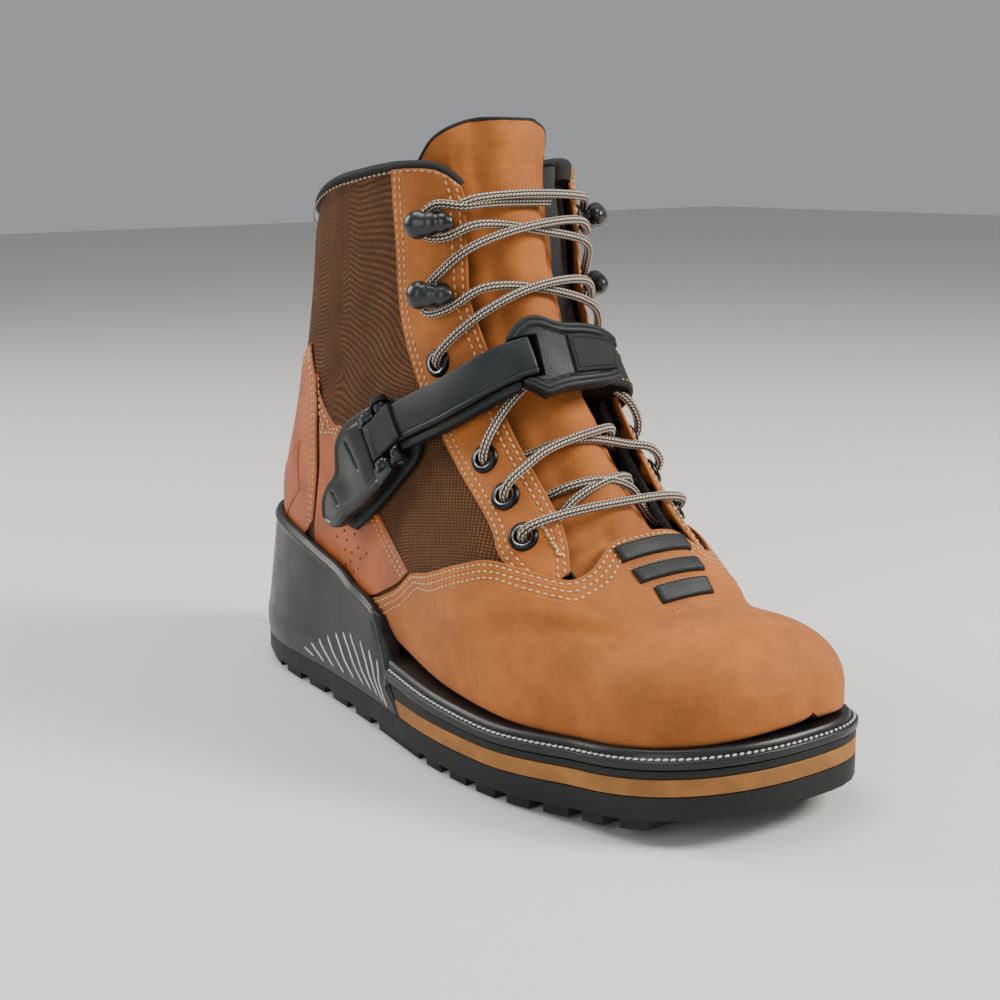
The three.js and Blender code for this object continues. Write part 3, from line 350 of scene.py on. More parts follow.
class Finish:
    """One material. Uniform values are set on the shader's own sockets."""

    def __init__(self, name, **uniform):
        self.material = bpy.data.materials.new(name)
        self.material.use_nodes = True
        self.tree = self.material.node_tree
        self.shader = self.tree.nodes["Principled BSDF"]
        for socket, value in uniform.items():
            self.feed(self.shader.inputs[socket.replace("_", " ")], value)

    def feed(self, socket, value):
        if isinstance(value, Value):
            self.tree.links.new(value.socket, socket)
        elif hasattr(value, "__len__") and len(value) == 3 and socket.type == "RGBA":
            socket.default_value = (*value, 1)
        else:
            socket.default_value = value

    def node(self, kind, settings=None, inputs=None, output=0):
        made = self.tree.nodes.new(kind)
        for key, value in (settings or {}).items():
            setattr(made, key, value)
        for key, value in (inputs or {}).items():
            self.feed(made.inputs[key], value)
        return Value(self, made.outputs[output])

    def place(self):
        return self.node("ShaderNodeTexCoord", output="Object")

    def flow(self):
        """The piece's own UV map, in metres along the surface, as two numbers."""
        uv = self.node("ShaderNodeUVMap", {"uv_map": "flow"})
        return [self.node("ShaderNodeSeparateXYZ", inputs={0: uv}, output=k) for k in (0, 1)]

    def noise(self, size, detail=3.0, rough=0.55):
        """Cloudy noise from 0 to 1, with features of about `size` metres."""
        inputs = {"Vector": self.place(), "Scale": 1 / size, "Detail": detail, "Roughness": rough}
        return self.node("ShaderNodeTexNoise", inputs=inputs)

    def cells(self, size):
        inputs = {"Vector": self.place(), "Scale": 1 / size}
        return self.node("ShaderNodeTexVoronoi", inputs=inputs, output="Distance")

    def mix(self, factor, a, b):
        return self.node("ShaderNodeMix", {"data_type": "RGBA"}, {0: factor, 6: a, 7: b}, output=2)

    def bump(self, height, depth, strength=1.0):
        inputs = {"Height": height, "Distance": depth, "Strength": strength}
        self.feed(self.shader.inputs["Normal"], self.node("ShaderNodeBump", inputs=inputs))

    def paint(self, **sockets):
        for socket, value in sockets.items():
            self.feed(self.shader.inputs[socket.replace("_", " ")], value)
        return self.material


def shaded(colour, factor):
    return tuple(min(1.0, c * factor) for c in colour)


def nubuck(name, colour, nap=1.0):
    """Brushed leather: clouded colour, fine pores, lighter scuffs and darker burnished patches."""
    f = Finish(name, Sheen_Weight=0.07 * nap, Sheen_Roughness=0.45, Specular_IOR_Level=0.25)
    cloud = f.noise(0.038, 4).smooth(0.32, 0.68)
    blotch = f.noise(0.009, 4).smooth(0.35, 0.72)
    scuff = f.noise(0.0022, 5, 0.65).smooth(0.52, 0.78)
    pores = f.noise(0.00042, 3)
    tone = f.mix(cloud, shaded(colour, 0.80), shaded(colour, 1.14))
    tone = f.mix(blotch * 0.42, tone, shaded(colour, 0.58))
    tone = f.mix(scuff * 0.30, tone, shaded((colour[0], colour[1] * 1.3, colour[2] * 1.9), 1.25))
    tone = f.mix(pores.smooth(0.6, 0.3) * 0.28, tone, shaded(colour, 0.45))
    f.bump(pores * 0.6 + f.noise(0.0016, 4) * 0.8 + blotch * 0.5, 0.00022, 0.75)
    return f.paint(Base_Color=tone, Roughness=0.62 + pores * 0.22)


def waxed_leather():
    colour = colours().waxed
    f = Finish("waxed_leather", Specular_IOR_Level=0.45)
    cloud = f.noise(0.02, 5).smooth(0.3, 0.7)
    creases = f.cells(0.0011)
    pores = f.noise(0.0005, 3)
    tone = f.mix(cloud, shaded(colour, 0.72), shaded(colour, 1.25))
    tone = f.mix(pores.smooth(0.6, 0.3) * 0.3, tone, shaded(colour, 0.4))
    f.bump(creases * 0.6 + pores * 0.5 + cloud * 0.4, 0.00025, 0.7)
    return f.paint(Base_Color=tone, Roughness=0.42 + pores * 0.25)


def weave():
    """A coarse plain weave that follows the piece's own flow."""
    f = Finish("woven_textile", Sheen_Weight=0.02, Specular_IOR_Level=0.12)
    u, v = f.flow()
    pitch = sizes().weave_pitch
    wander = (f.noise(0.004, 2) - 0.5) * 0.35
    across = ((u / pitch + wander) * math.pi).sine()
    up = ((v / pitch + wander) * math.pi).sine()
    over = across * up
    height = over.size() ** 0.45
    warp = over.smooth(-0.12, 0.12)
    fibre = f.noise(0.00028, 3)
    fade = f.noise(0.012, 3).smooth(0.3, 0.7)
    light = f.mix(fade, shaded(colours().yarn, 0.75), shaded(colours().yarn, 1.2))
    tone = f.mix(warp, light, shaded(colours().yarn, 0.42))
    # Painted shade: the low gaps between the yarns get the dark yarn colour.
    tone = f.mix(height.smooth(0.75, 0.3), tone, colours().shade)
    tone = f.mix(fibre.smooth(0.6, 0.35) * 0.4, tone, shaded(colours().shade, 0.8))
    f.bump(height + fibre * 0.25 + warp * 0.25, 0.0004, 0.9)
    return f.paint(Base_Color=tone, Roughness=0.72 + fibre * 0.2)


def knit(name, colour, pitch=0.0009):
    """A fine mesh for linings and piping."""
    f = Finish(name, Sheen_Weight=0.2, Specular_IOR_Level=0.3)
    cells = f.cells(pitch)
    fibre = f.noise(0.0003, 3)
    # Partly the knit's own pattern, partly painted light and shade: the raised cells are painted lighter and
    # the low places between them darker.
    tone = f.mix(cells.smooth(0.15, 0.6), shaded(colour, 1.5), shaded(colour, 0.5))
    f.bump(1 - cells + fibre * 0.3, 0.0003, 0.8)
    return f.paint(Base_Color=tone, Roughness=0.8 + fibre * 0.1)


def moulded(name, colour, rough=0.42, grain=0.00035, depth=0.00005, coat=0.0):
    """Moulded plastic or rubber: a fine spark texture, handling marks and dust in the low places."""
    f = Finish(name, Specular_IOR_Level=0.32, Coat_Weight=coat, Coat_Roughness=0.25)
    fine = f.noise(grain, 2)
    smear = f.noise(0.014, 4).smooth(0.35, 0.75)
    dust = f.noise(0.0035, 5, 0.7).smooth(0.56, 0.82)
    tone = f.mix(smear, shaded(colour, 0.85), shaded(colour, 1.3))
    tone = f.mix(dust * 0.09, tone, (0.12, 0.115, 0.105))
    f.bump(fine + smear * 0.3, depth, 0.6)
    return f.paint(Base_Color=tone, Roughness=rough + smear * 0.12 + fine * 0.08)


def metal(name, colour, rough=0.28):
    f = Finish(name, Metallic=1.0)
    wear = f.noise(0.0012, 4).smooth(0.45, 0.8)
    fine = f.noise(0.0002, 2)
    f.bump(fine, 0.00003, 0.5)
    return f.paint(Base_Color=f.mix(wear, colour, shaded(colour, 1.8)), Roughness=rough + wear * 0.18)


def thread_finish(name, colour):
    """Twisted sewing thread."""
    f = Finish(name, Sheen_Weight=0.15, Specular_IOR_Level=0.4)
    u, v = f.flow()
    twist = ((u * 2 + v * 3) * math.pi).sine()
    fibre = f.noise(0.00015, 2)
    # Painted shade: the low grooves of the twist are painted darker.
    tone = f.mix(twist.smooth(0.2, -0.9), colour, shaded(colour, 0.5))
    tone = f.mix(f.noise(0.012, 2).smooth(0.35, 0.65) * 0.45, tone, shaded(colour, 0.7))
    f.bump(twist + fibre * 0.6, 0.0001, 0.6)
    return f.paint(Base_Color=tone, Roughness=0.65 + fibre * 0.2)


def braid():
    """Round braided lace: cream ticks in rows along a dark cord."""
    f = Finish("braided_lace", Sheen_Weight=0.15, Specular_IOR_Level=0.35)
    u, v = f.flow()
    rows = 7
    row = (u * (2 * math.pi * rows)).sine()
    slant = (v * 2.1 + (u * (2 * math.pi * rows)).math("COSINE") * 0.22) * (2 * math.pi)
    tick = slant.sine()
    light = row.smooth(-0.35, 0.15) * tick.smooth(-0.75, 0.05)
    fibre = f.noise(0.0002, 3)
    tone = f.mix(light, colours().lace, colours().cream)
    tone = f.mix(fibre.smooth(0.55, 0.3) * 0.35, tone, shaded(colours().lace, 1.5))
    f.bump(light + row.size() * 0.6 + fibre * 0.3, 0.00022, 0.8)
    return f.paint(Base_Color=tone, Roughness=0.7 + fibre * 0.2)


def floor_finish():
    f = Finish("studio_floor", Roughness=0.6, Specular_IOR_Level=0.2)
    return f.paint(Base_Color=colours().floor)


FINISHES = {
    "nubuck": lambda: nubuck("nubuck", colours().nubuck),
    "tongue": lambda: nubuck("tongue_nubuck", shaded(colours().nubuck, 1.06)),
    "waxed": waxed_leather,
    "weave": weave,
    "piping": lambda: nubuck("black_leather", (0.009, 0.0095, 0.0095), 0.3),
    "lining": lambda: knit("lining_mesh", (0.02, 0.02, 0.021)),
    "board": lambda: knit("fibre_board", (0.35, 0.27, 0.17), 0.002),
    "rubber": lambda: moulded("black_rubber", colours().black_rubber, 0.55, 0.0006, 0.0001),
    "cup": lambda: moulded("cup_rubber", shaded(colours().black_rubber, 0.9), 0.34, 0.0005, 0.00006, 0.15),
    "tan": lambda: moulded("tan_rubber", colours().tan_rubber, 0.62, 0.0006, 0.0001),
    # Painted shade: the dark colour that stands in for the punched holes of the counters and the lining behind
    # them.
    "pit": lambda: nubuck("pit", (0.03, 0.01, 0.004), 0.0),
    "grey": lambda: moulded("grey_line", (0.42, 0.43, 0.43), 0.5),
    "nylon": lambda: moulded("satin_nylon", colours().nylon, 0.44, 0.00045, 0.00006),
    "matt": lambda: moulded("matt_nylon", shaded(colours().nylon, 0.9), 0.5, 0.0009, 0.0002),
    "gloss": lambda: moulded("gloss_nylon", shaded(colours().nylon, 0.8), 0.26, 0.0006, 0.00002, 0.35),
    "gunmetal": lambda: metal("gunmetal", (0.022, 0.024, 0.025), 0.3),
    "bright": lambda: metal("bright_ring", (0.35, 0.36, 0.37), 0.3),
    "steel": lambda: metal("bare_steel", (0.42, 0.42, 0.43), 0.34),
    "thread": lambda: thread_finish("thread", colours().thread),
    "dark_thread": lambda: thread_finish("dark_thread", shaded(colours().thread, 0.55)),
    "welt_thread": lambda: thread_finish("welt_thread", colours().welt_thread),
    "braid": braid,
    "floor": floor_finish,
}


def finish(name):
    made = bpy.data.materials.get("boot_" + name)
    if made is None:
        made = FINISHES[name]()
        made.name = "boot_" + name
    return made


# ---------------------------------------------------------------- making pieces


def keep(bm, name, material, body=BODY, replaces=(), sharp=40):
    """Turns a bmesh in metres into a finished piece that rides on a body."""
    for face in bm.faces:
        face.smooth = True
    for edge in bm.edges:
        edge.smooth = not edge.is_manifold or edge.calc_face_angle(0) < sharp * DEG
    mesh = bpy.data.meshes.new(name)
    bm.to_mesh(mesh)
    bm.free()
    mesh.materials.append(finish(material))
    piece = bpy.data.objects.new(name, mesh)
    bpy.context.scene.collection.objects.link(piece)
    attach(piece, body)
    if replaces:
        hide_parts(*replaces)
    return piece


def grid(rows, columns):
    """A unit grid, with each vertex's place across and along it from 0 to 1."""
    bm = bmesh.new()
    bmesh.ops.create_grid(bm, x_segments=columns, y_segments=rows, size=0.5)
    bm.verts.ensure_lookup_table()
    at = np.array([v.co[:2] for v in bm.verts]) + 0.5
    i = np.rint(at[:, 1] * rows).astype(int)
    j = np.rint(at[:, 0] * columns).astype(int)
    return bm, i, j


def lay(points, flow=None, wrap=False, caps=False):
    """Lays a grid over an array of points in millimetres: [rows, columns, 3]."""
    rows, columns = points.shape[0] - 1, points.shape[1] - 1
    bm, i, j = grid(rows, columns)
    if flow is None:
        step_u = np.linalg.norm(np.diff(points, axis=1), axis=-1)
        step_v = np.linalg.norm(np.diff(points, axis=0), axis=-1)
        u = np.concatenate([np.zeros((rows + 1, 1)), np.cumsum(step_u, 1)], 1)
        v = np.concatenate([np.zeros((1, columns + 1)), np.cumsum(step_v, 0)], 0)
        flow = np.stack([u - u.mean(1, keepdims=True), v], -1) * MM
    places = points[i, j] * MM
    for vert, place in zip(bm.verts, places):
        vert.co = place
    layer = bm.loops.layers.uv.new("flow")
    uv = flow[i, j]
    bm.verts.index_update()
    for face in bm.faces:
        for loop in face.loops:
            loop[layer].uv = uv[loop.vert.index]
    if wrap:
        bmesh.ops.remove_doubles(bm, verts=bm.verts, dist=1e-7)
    if caps:
        bmesh.ops.holes_fill(bm, edges=[e for e in bm.edges if e.is_boundary], sides=0)
        bmesh.ops.recalc_face_normals(bm, faces=bm.faces)
    return bm


def spaced(total, pitch, edge):
    """Places from 0 to 1, closer together near both ends where an edge is shaped."""
    near = np.array([d for d in edge if d < total * 0.3])
    middle = np.linspace(near[-1], total - near[-1], max(2, int(round((total - 2 * near[-1]) / pitch)) + 1))
    return np.concatenate([near[:-1], middle, total - near[:-1][::-1]]) / total


EDGE = [0, 0.12, 0.35, 0.7, 1.15, 1.6, 2.0, 2.4, 2.9, 3.5, 4.1, 4.55, 5.0, 5.5, 6.2]


class Panel:
    """A sheet of the upper: its grid of points, normals, and distance from each of its edges."""

    def __init__(self, bottom, top, front, back, outer, pitch=None, size=(150, 100)):
        def value(f, *args):
            return f(*args) if callable(f) else np.full(np.shape(args[0]), float(f))

        pitch = pitch or sizes().detail / MM
        columns = spaced(size[1], pitch, EDGE)
        rows = spaced(size[0], pitch, EDGE)
        v, w = np.meshgrid(columns, rows)
        self.s = mix(value(bottom, v), value(top, v), w)
        self.th = mix(value(front, self.s), value(back, self.s), v)
        self.outer = value(outer, self.s, self.th) if callable(outer) else np.full(v.shape, float(outer))
        self.base = last(self.s, self.th, self.outer)
        self.normal = outward(self.s, self.th)
        self.rise = np.zeros(v.shape)
        across = np.linalg.norm(np.diff(self.base, axis=1), axis=-1)
        up = np.linalg.norm(np.diff(self.base, axis=0), axis=-1)
        zero_column, zero_row = np.zeros((v.shape[0], 1)), np.zeros((1, v.shape[1]))
        run = np.concatenate([zero_column, np.cumsum(across, 1)], 1)
        climb = np.concatenate([zero_row, np.cumsum(up, 0)], 0)
        row_way, column_way = np.gradient(self.base, axis=1), np.gradient(self.base, axis=0)
        unit = lambda a: a / (np.linalg.norm(a, axis=-1, keepdims=True) + 1e-9)
        slant = np.linalg.norm(np.cross(unit(row_way), unit(column_way)), axis=-1)
        self.edges = {
            "front": run * slant[:, :1],
            "back": (run[:, -1:] - run) * slant[:, -1:],
            "bottom": climb * slant[:1, :],
            "top": (climb[-1:, :] - climb) * slant[-1:, :],
        }
        self.flow = np.stack([run - run[:, -1:] / 2, climb], -1) * MM

    def line(self, edge, distance, start=0.0, end=1.0):
        """Points and normals of the line that runs at a distance from an edge."""
        field = self.edges[edge]
        places = self.base + self.normal * self.rise[..., None]
        upright = edge in ("bottom", "top")
        count = field.shape[1] if upright else field.shape[0]
        points, normals = [], []
        for k in range(int(count * start), int(math.ceil(count * end))):
            d = field[:, k] if upright else field[k, :]
            p = places[:, k] if upright else places[k, :]
            n = self.normal[:, k] if upright else self.normal[k, :]
            order = np.argsort(d)
            points.append([np.interp(distance, d[order], p[order, c]) for c in range(3)])
            normals.append([np.interp(distance, d[order], n[order, c]) for c in range(3)])
        return np.array(points), np.array(normals)

    def roll(self, edges, radius=0.7):
        """Rounds the cut edge of the leather."""
        for edge in edges:
            t = np.clip(self.edges[edge] / radius, 0, 1)
            self.rise = self.rise - radius * (1 - np.sqrt(1 - (1 - t) ** 2)) * (t < 1)

    def groove(self, edge, distance, depth=0.28, width=0.9):
        """Presses a seam line into the surface, with the leather puffed up beside it."""
        gap = (self.edges[edge] - distance) / width
        dent = -depth * np.exp(-gap * gap) + 0.25 * depth * np.exp(-((np.abs(gap) - 2) ** 2))
        self.rise = self.rise + dent

    def holes(self, places, radius, depth):
        for s, th in places:
            centre = last(s, th, 0)
            away = np.linalg.norm(self.base - centre, axis=-1)
            self.rise = self.rise - depth * smooth((radius - away) / (0.35 * radius) + 0.5)

    def points(self):
        return self.base + self.normal * self.rise[..., None]

    def make(self, name, material, thickness, replaces=()):
        bm = lay(self.points(), self.flow)
        bmesh.ops.recalc_face_normals(bm, faces=bm.faces)
        face = next(iter(bm.faces))
        middle = face.calc_center_median() / MM
        nearest = np.argmin(np.linalg.norm(self.points().reshape(-1, 3) - np.array(middle), axis=1))
        if Vector(self.normal.reshape(-1, 3)[nearest]).dot(face.normal) < 0:
            bmesh.ops.reverse_faces(bm, faces=bm.faces)
        bmesh.ops.solidify(bm, geom=bm.faces[:], thickness=thickness * MM)
        return keep(bm, name, material, replaces=replaces, sharp=60)


def resample(points, normals, pitch):
    """Evenly spaced points and normals along a line."""
    step = np.linalg.norm(np.diff(points, axis=0), axis=1)
    run = np.concatenate([[0], np.cumsum(step)])
    count = max(2, int(run[-1] / pitch))
    at = np.linspace(0, run[-1], count + 1)
    pick = lambda a: np.stack([np.interp(at, run, a[:, c]) for c in range(3)], -1)
    return pick(points), pick(normals)


def stitches(name, lines, material="thread", pitch=None, width=None, sink=0.12, fill=0.74, lean=0.0):
    """Rows of single stitches, each one a short rounded thread that dips in at its ends."""
    pitch = pitch or sizes().stitch_pitch / MM
    width = width or sizes().thread / MM
    bm = bmesh.new()
    layer = bm.loops.layers.uv.new("flow")
    for points, normals in lines:
        p, n = resample(points, normals, pitch)
        for k in range(len(p) - 1):
            way = p[k + 1] - p[k]
            gap = np.linalg.norm(way)
            if gap < 0.4 * pitch:
                continue
            way = way / gap
            up = n[k] + n[k + 1]
            up = up - way * up.dot(way)
            up = up / (np.linalg.norm(up) + 1e-9)
            side = np.cross(up, way)
            way = way + side * lean
            way = way / np.linalg.norm(way)
            side = np.cross(up, way)
            centre = (p[k] + p[k + 1]) / 2 + up * (width * 0.5 - sink - width * 0.18)
            scale = Matrix.Diagonal((fill * gap * 0.5 * MM, width * 0.5 * MM, width * 0.42 * MM, 1))
            turn = Matrix((way, side, up)).transposed().to_4x4()
            matrix = Matrix.Translation(Vector(centre) * MM) @ turn @ scale
            made = bmesh.ops.create_icosphere(bm, subdivisions=1, radius=1, matrix=matrix)
            inverse = matrix.inverted()
            for vert in made["verts"]:
                local = inverse @ vert.co
                for loop in vert.link_loops:
                    loop[layer].uv = (local.x, local.y)
    return keep(bm, name, material, sharp=180)


def tube(points, radius, sides, up=None, flat=1.0, taper=None):
    """A tube along points in millimetres, as a bmesh. flat squashes it along `up`."""
    points = np.asarray(points, float)
    way = np.gradient(points, axis=0)
    way = way / np.linalg.norm(way, axis=1, keepdims=True)
    frames = []
    side = np.cross(way[0], up[0] if up is not None else (0.03, 0.1, 1.0))
    for k, t in enumerate(way):
        if up is not None:
            side = np.cross(t, up[k])
        side = side - t * side.dot(t)
        side = side / np.linalg.norm(side)
        frames.append((side, np.cross(side, t)))
    angle = np.linspace(0, 2 * math.pi, sides + 1)
    rad = np.full(len(points), radius) if taper is None else radius * np.asarray(taper)
    rings = np.array([
        p + r * (np.cos(angle)[:, None] * a + flat * np.sin(angle)[:, None] * b)
        for p, r, (a, b) in zip(points, rad, frames)
    ])
    step = np.linalg.norm(np.diff(points, axis=0), axis=1)
    run = np.concatenate([[0], np.cumsum(step)])
    u, v = np.meshgrid(np.linspace(0, 1, sides + 1), run / (2 * radius))
    return lay(rings, np.stack([u, v], -1), wrap=True, caps=True)


def merge_into(bm, other):
    """Adds one bmesh to another."""
    mesh = bpy.data.meshes.new("part")
    other.to_mesh(mesh)
    other.free()
    bm.from_mesh(mesh)
    bpy.data.meshes.remove(mesh)


SHARP_EDGE = 30


def refined(node, material, bevel=0.35, segments=2, body=BODY, name=None):
    """A CAD node's own shape, merged, with its sharp edges rounded."""
    bm = bmesh.new()
    bm.from_mesh(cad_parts[node].data)
    bmesh.ops.remove_doubles(bm, verts=bm.verts, dist=1e-6)
    bmesh.ops.dissolve_limit(bm, angle_limit=1.5 * DEG, verts=bm.verts, edges=bm.edges)
    edges = [e for e in bm.edges if e.is_manifold and e.calc_face_angle(0) > SHARP_EDGE * DEG]
    if bevel:
        bmesh.ops.bevel(bm, geom=edges, offset=bevel * MM, affect="EDGES", segments=segments, profile=0.5,
                        material=-1, clamp_overlap=True)
    for layer in list(bm.loops.layers.uv.values()):
        bm.loops.layers.uv.remove(layer)
    return keep(bm, name or node + "_finished", material, body, (node,), sharp=35)


# ---------------------------------------------------------------- upper pieces


def leather_panel(name, spec, material, rolled, seams, thickness=1.5, size=(150, 60), holes=()):
    """A leather panel with rolled edges, seam grooves and its stitches."""
    panel = Panel(outer=0.0, size=size, **spec) if "outer" not in spec else Panel(size=size, **spec)
    panel.roll(rolled)
    for edge, distance, *_ in seams:
        panel.groove(edge, distance)
    for places, radius, depth in holes:
        panel.holes(places, radius, depth)
    panel.make(name + "_leather", material, thickness, (name,))
    lines = [panel.line(edge, distance, *extent) for edge, distance, *extent in seams]
    if lines:
        stitches(name + "_stitching", lines)
    return panel


def eyestay_spec(side):
    return dict(
        bottom=0.3,
        top=lambda v: collar_at(mix(29, 69.5, v)) - BINDING,
        front=lambda s: side * along(EYESTAY_FRONT, s),
        back=lambda s: side * along(EYESTAY_BACK, s),
    )


def make_eyestay(word, side):
    row = sizes().row_gap / MM
    eyelet_places = [(s, side * th) for s, th in EYELETS]
    hook_places = [(s, side * th) for s, th in HOOKS]
    seams = [("front", 2.0), ("front", 2.0 + row), ("back", 1.9), ("back", 1.9 + row)]
    leather_panel(
        f"eyestay_{word}", eyestay_spec(side), "nubuck", ("front", "back", "top"), seams, size=(165, 32),
        holes=[(eyelet_places, 3.4, 3.2), (hook_places, 4.5, 0.5)],
    )
    zigzag = [(0.318 + 0.0055 * k, side * (31.5 + (2.6 if k % 2 else 0))) for k in range(9)]
    s, th = np.array(zigzag).T
    line = last(s, th, 0.1), outward(s, th)
    stitches(f"eyestay_{word}_bartack", [line], pitch=2.6, width=1.35, fill=0.95)


def make_quarter(word, side):
    panel = Panel(
        bottom=lambda v: mix(0.345, 0.44, v),
        top=lambda v: collar_at(mix(62, 177, v)) - BINDING,
        front=lambda s: side * (along(EYESTAY_BACK, s) - 7),
        back=lambda s: side * along([(0.44, 142), (0.58, 148), (0.66, 175), (0.75, 177), (1, 177)], s),
        outer=-2.0, size=(190, 110), pitch=2.2,
    )
    swell = smooth(panel.edges["front"] / 16) * smooth(panel.edges["top"] / 10)
    swell = swell * smooth(panel.edges["back"] / 12)
    ripple = np.sin(panel.s * 75 + 1.3 * np.sin(panel.th * 0.07)) * np.exp(-((panel.s - 0.72) / 0.09) ** 2)
    panel.rise = panel.rise + 1.1 * swell + 0.28 * swell * ripple
    panel.make(f"quarter_{word}_cloth", "weave", 0.9, (f"quarter_{word}",))


PERFORATIONS = [(0.512 + 0.014 * row + 0.004 * (k % 2), 97 + 4.6 * k + 2.3 * (row % 2)) for row in range(5)
                for k in range(5 - row)]


def make_counter(word, side):
    row = sizes().row_gap / MM
    spec = dict(
        bottom=lambda v: along(VAMP_EDGE, mix(90, 142, v)) + 0.004,
        top=0.755,
        front=lambda s: side * along(COUNTER_FRONT, s),
        back=lambda s: side * (along(BACKSTAY_SEAM, s) - 1.5),
    )
    seams = [("front", 1.9), ("front", 1.9 + row)]
    leather_panel(f"counter_{word}", spec, "waxed", ("front", "top"), seams, size=(105, 40))
    dots(f"counter_{word}_perforations", [(s, side * th) for s, th in PERFORATIONS], 0.72)


def make_back():
    make_backstay()
    make_patch()


def dots(name, places, radius):
    """Punched perforations: small dark pits that sit flush with the leather."""
    bm = bmesh.new()
    for s, th in places:
        size = Matrix.Diagonal((radius * MM, radius * MM, 0.3 * radius * MM, 1))
        bmesh.ops.create_icosphere(bm, subdivisions=2, radius=1, matrix=standing(s, th, -0.05) @ size)
    keep(bm, name, "pit", sharp=180)


def make_backstay():
    row = sizes().row_gap / MM
    spec = dict(
        bottom=0.6, top=0.8, outer=0.5,
        front=lambda s: along(BACKSTAY_SEAM, s),
        back=lambda s: 360 - along(BACKSTAY_SEAM, s),
    )
    seams = [(edge, distance) for edge in ("front", "back", "top") for distance in (2.0, 2.0 + row)]
    leather_panel("backstay", spec, "waxed", ("front", "back", "top"), seams, thickness=1.9, size=(95, 150))


def make_patch():
    """A plain raised patch on the lateral side of the backstay, with a pressed border."""
    panel = Panel(bottom=0.648, top=0.706, front=lambda s: 110 + 0 * s, back=lambda s: 131 + 0 * s, outer=0.95,
                  size=(14, 16), pitch=0.7)
    panel.roll(("front", "back", "bottom", "top"), 0.5)
    for edge in ("front", "back", "bottom", "top"):
        panel.groove(edge, 1.7, 0.35, 0.35)
    panel.make("backstay_patch", "waxed", 0.8)


def make_vamp():
    turned = 148
    row = sizes().row_gap / MM
    panel = Panel(
        bottom=0.0006, top=lambda v: vamp_edge(mix(-turned, turned, v)),
        front=lambda s: -mix(179.5, turned, smooth((s - 0.07) / 0.1)),
        back=lambda s: mix(179.5, turned, smooth((s - 0.07) / 0.1)),
        outer=lambda s, th: vamp_lift(s, th), size=(120, 300), pitch=1.9,
    )
    panel.roll(("top",), 0.8)
    rows = [1.8, 1.8 + row, 1.8 + 2 * row]
    for distance in rows:
        panel.groove("top", distance, 0.32)
    crease = np.exp(-((panel.s - 0.262) / 0.012) ** 2) + 0.6 * np.exp(-((panel.s - 0.236) / 0.01) ** 2)
    side = smooth((np.abs(panel.th) - 30) / 20) * smooth((95 - np.abs(panel.th)) / 30)
    panel.rise = panel.rise - 0.55 * crease * side
    panel.make("vamp_leather", "nubuck", 1.5, ("vamp",))
    stitches("vamp_stitching", [panel.line("top", d) for d in rows], pitch=2.7)


# The middle of the pressed frame on the tongue, as its place up the shaft and round it.
BADGE = (0.985, 12)


def make_tongue():
    """A padded leather tongue: crowned between its edges, with a soft fold under the top lace."""
    panel = Panel(
        bottom=0.287, top=lambda v: along(TONGUE_TOP, mix(-46, 62, v)),
        front=lambda s: -mix(34, 45, smooth((s - 0.3) / 0.6)),
        back=lambda s: mix(34, 60, smooth((s - 0.3) / 0.65)),
        outer=lambda s, th: tongue_dip(th) + tongue_lean(s), size=(190, 70), pitch=1.6,
    )
    crown = smooth(panel.edges["front"] / 14) * smooth(panel.edges["back"] / 14)
    folds = sum(
        depth * np.exp(-((panel.s - s) / width) ** 2)
        for s, width, depth in ((0.44, 0.02, 1.0), (0.515, 0.02, 1.0), (0.755, 0.02, 0.9), (0.865, 0.018, 0.8))
    )
    panel.rise = panel.rise + 1.9 * crown - 0.9 * folds * crown
    panel.roll(("top",), 0.9)
    up, across = np.abs(panel.s - BADGE[0]), np.abs(panel.th - BADGE[1])
    frame_in = np.exp(-((np.abs(across - 17) / 0.7) ** 2)) * smooth((0.022 - up) / 0.002)
    frame_up = np.exp(-((up - 0.02) / 0.0016) ** 2) * smooth(18 - across)
    fill = 6 * smooth((0.35 - panel.s) / 0.03) * smooth((np.abs(panel.th) - 9) / 8)
    panel.rise = panel.rise + fill
    bars = np.exp(-((up - 0.0065) / 0.0022) ** 2) * smooth(13 - across)
    panel.rise = panel.rise - 0.45 * np.maximum(np.maximum(frame_in, frame_up), bars)
    tongue = panel.make("tongue_pad", "tongue", 2.2, ("tongue",))
    lining = Panel(
        bottom=0.315, top=lambda v: along(TONGUE_TOP, mix(-46, 62, v)) - 0.006,
        front=lambda s: -mix(34, 45, smooth((s - 0.3) / 0.6)) + 2,
        back=lambda s: mix(34, 60, smooth((s - 0.3) / 0.65)) - 2,
        outer=lambda s, th: tongue_dip(th) - 2.4 + tongue_lean(s), size=(190, 68), pitch=3,
    )
    lining.make("tongue_lining_pad", "lining", 3.0, ("tongue_lining",))
    edge = [panel.line("front", 0.2), panel.line("top", 0.2), panel.line("back", 0.2)]
    for k, (points, normals) in enumerate(edge):
        p, n = resample(points, normals, 2.0)
        ring = tube(p - n * 0.9, 1.0, 10, up=n, flat=1.5)
        keep(ring, f"tongue_binding_{k + 1}", "piping", sharp=60)


def make_collar():
    """The padded collar: a rolled black binding over the top of the quarters, and its two seams."""
    th = np.linspace(29, 331, 220)
    s = collar_at(th)
    flip = np.where(th > 180, th - 360, th)
    top = last(s - 0.0055, flip, LINING_BOTTOM / 2)
    n = outward(s, flip)
    ring = tube(top, 2.1, 16, up=n, flat=1.55)
    keep(ring, "collar_roll", "piping", replaces=("collar_binding",), sharp=60)
    seam = last(s - 0.0165, flip, 0.35)
    stitches("collar_stitching", [(seam, n)], "dark_thread", pitch=3.0)


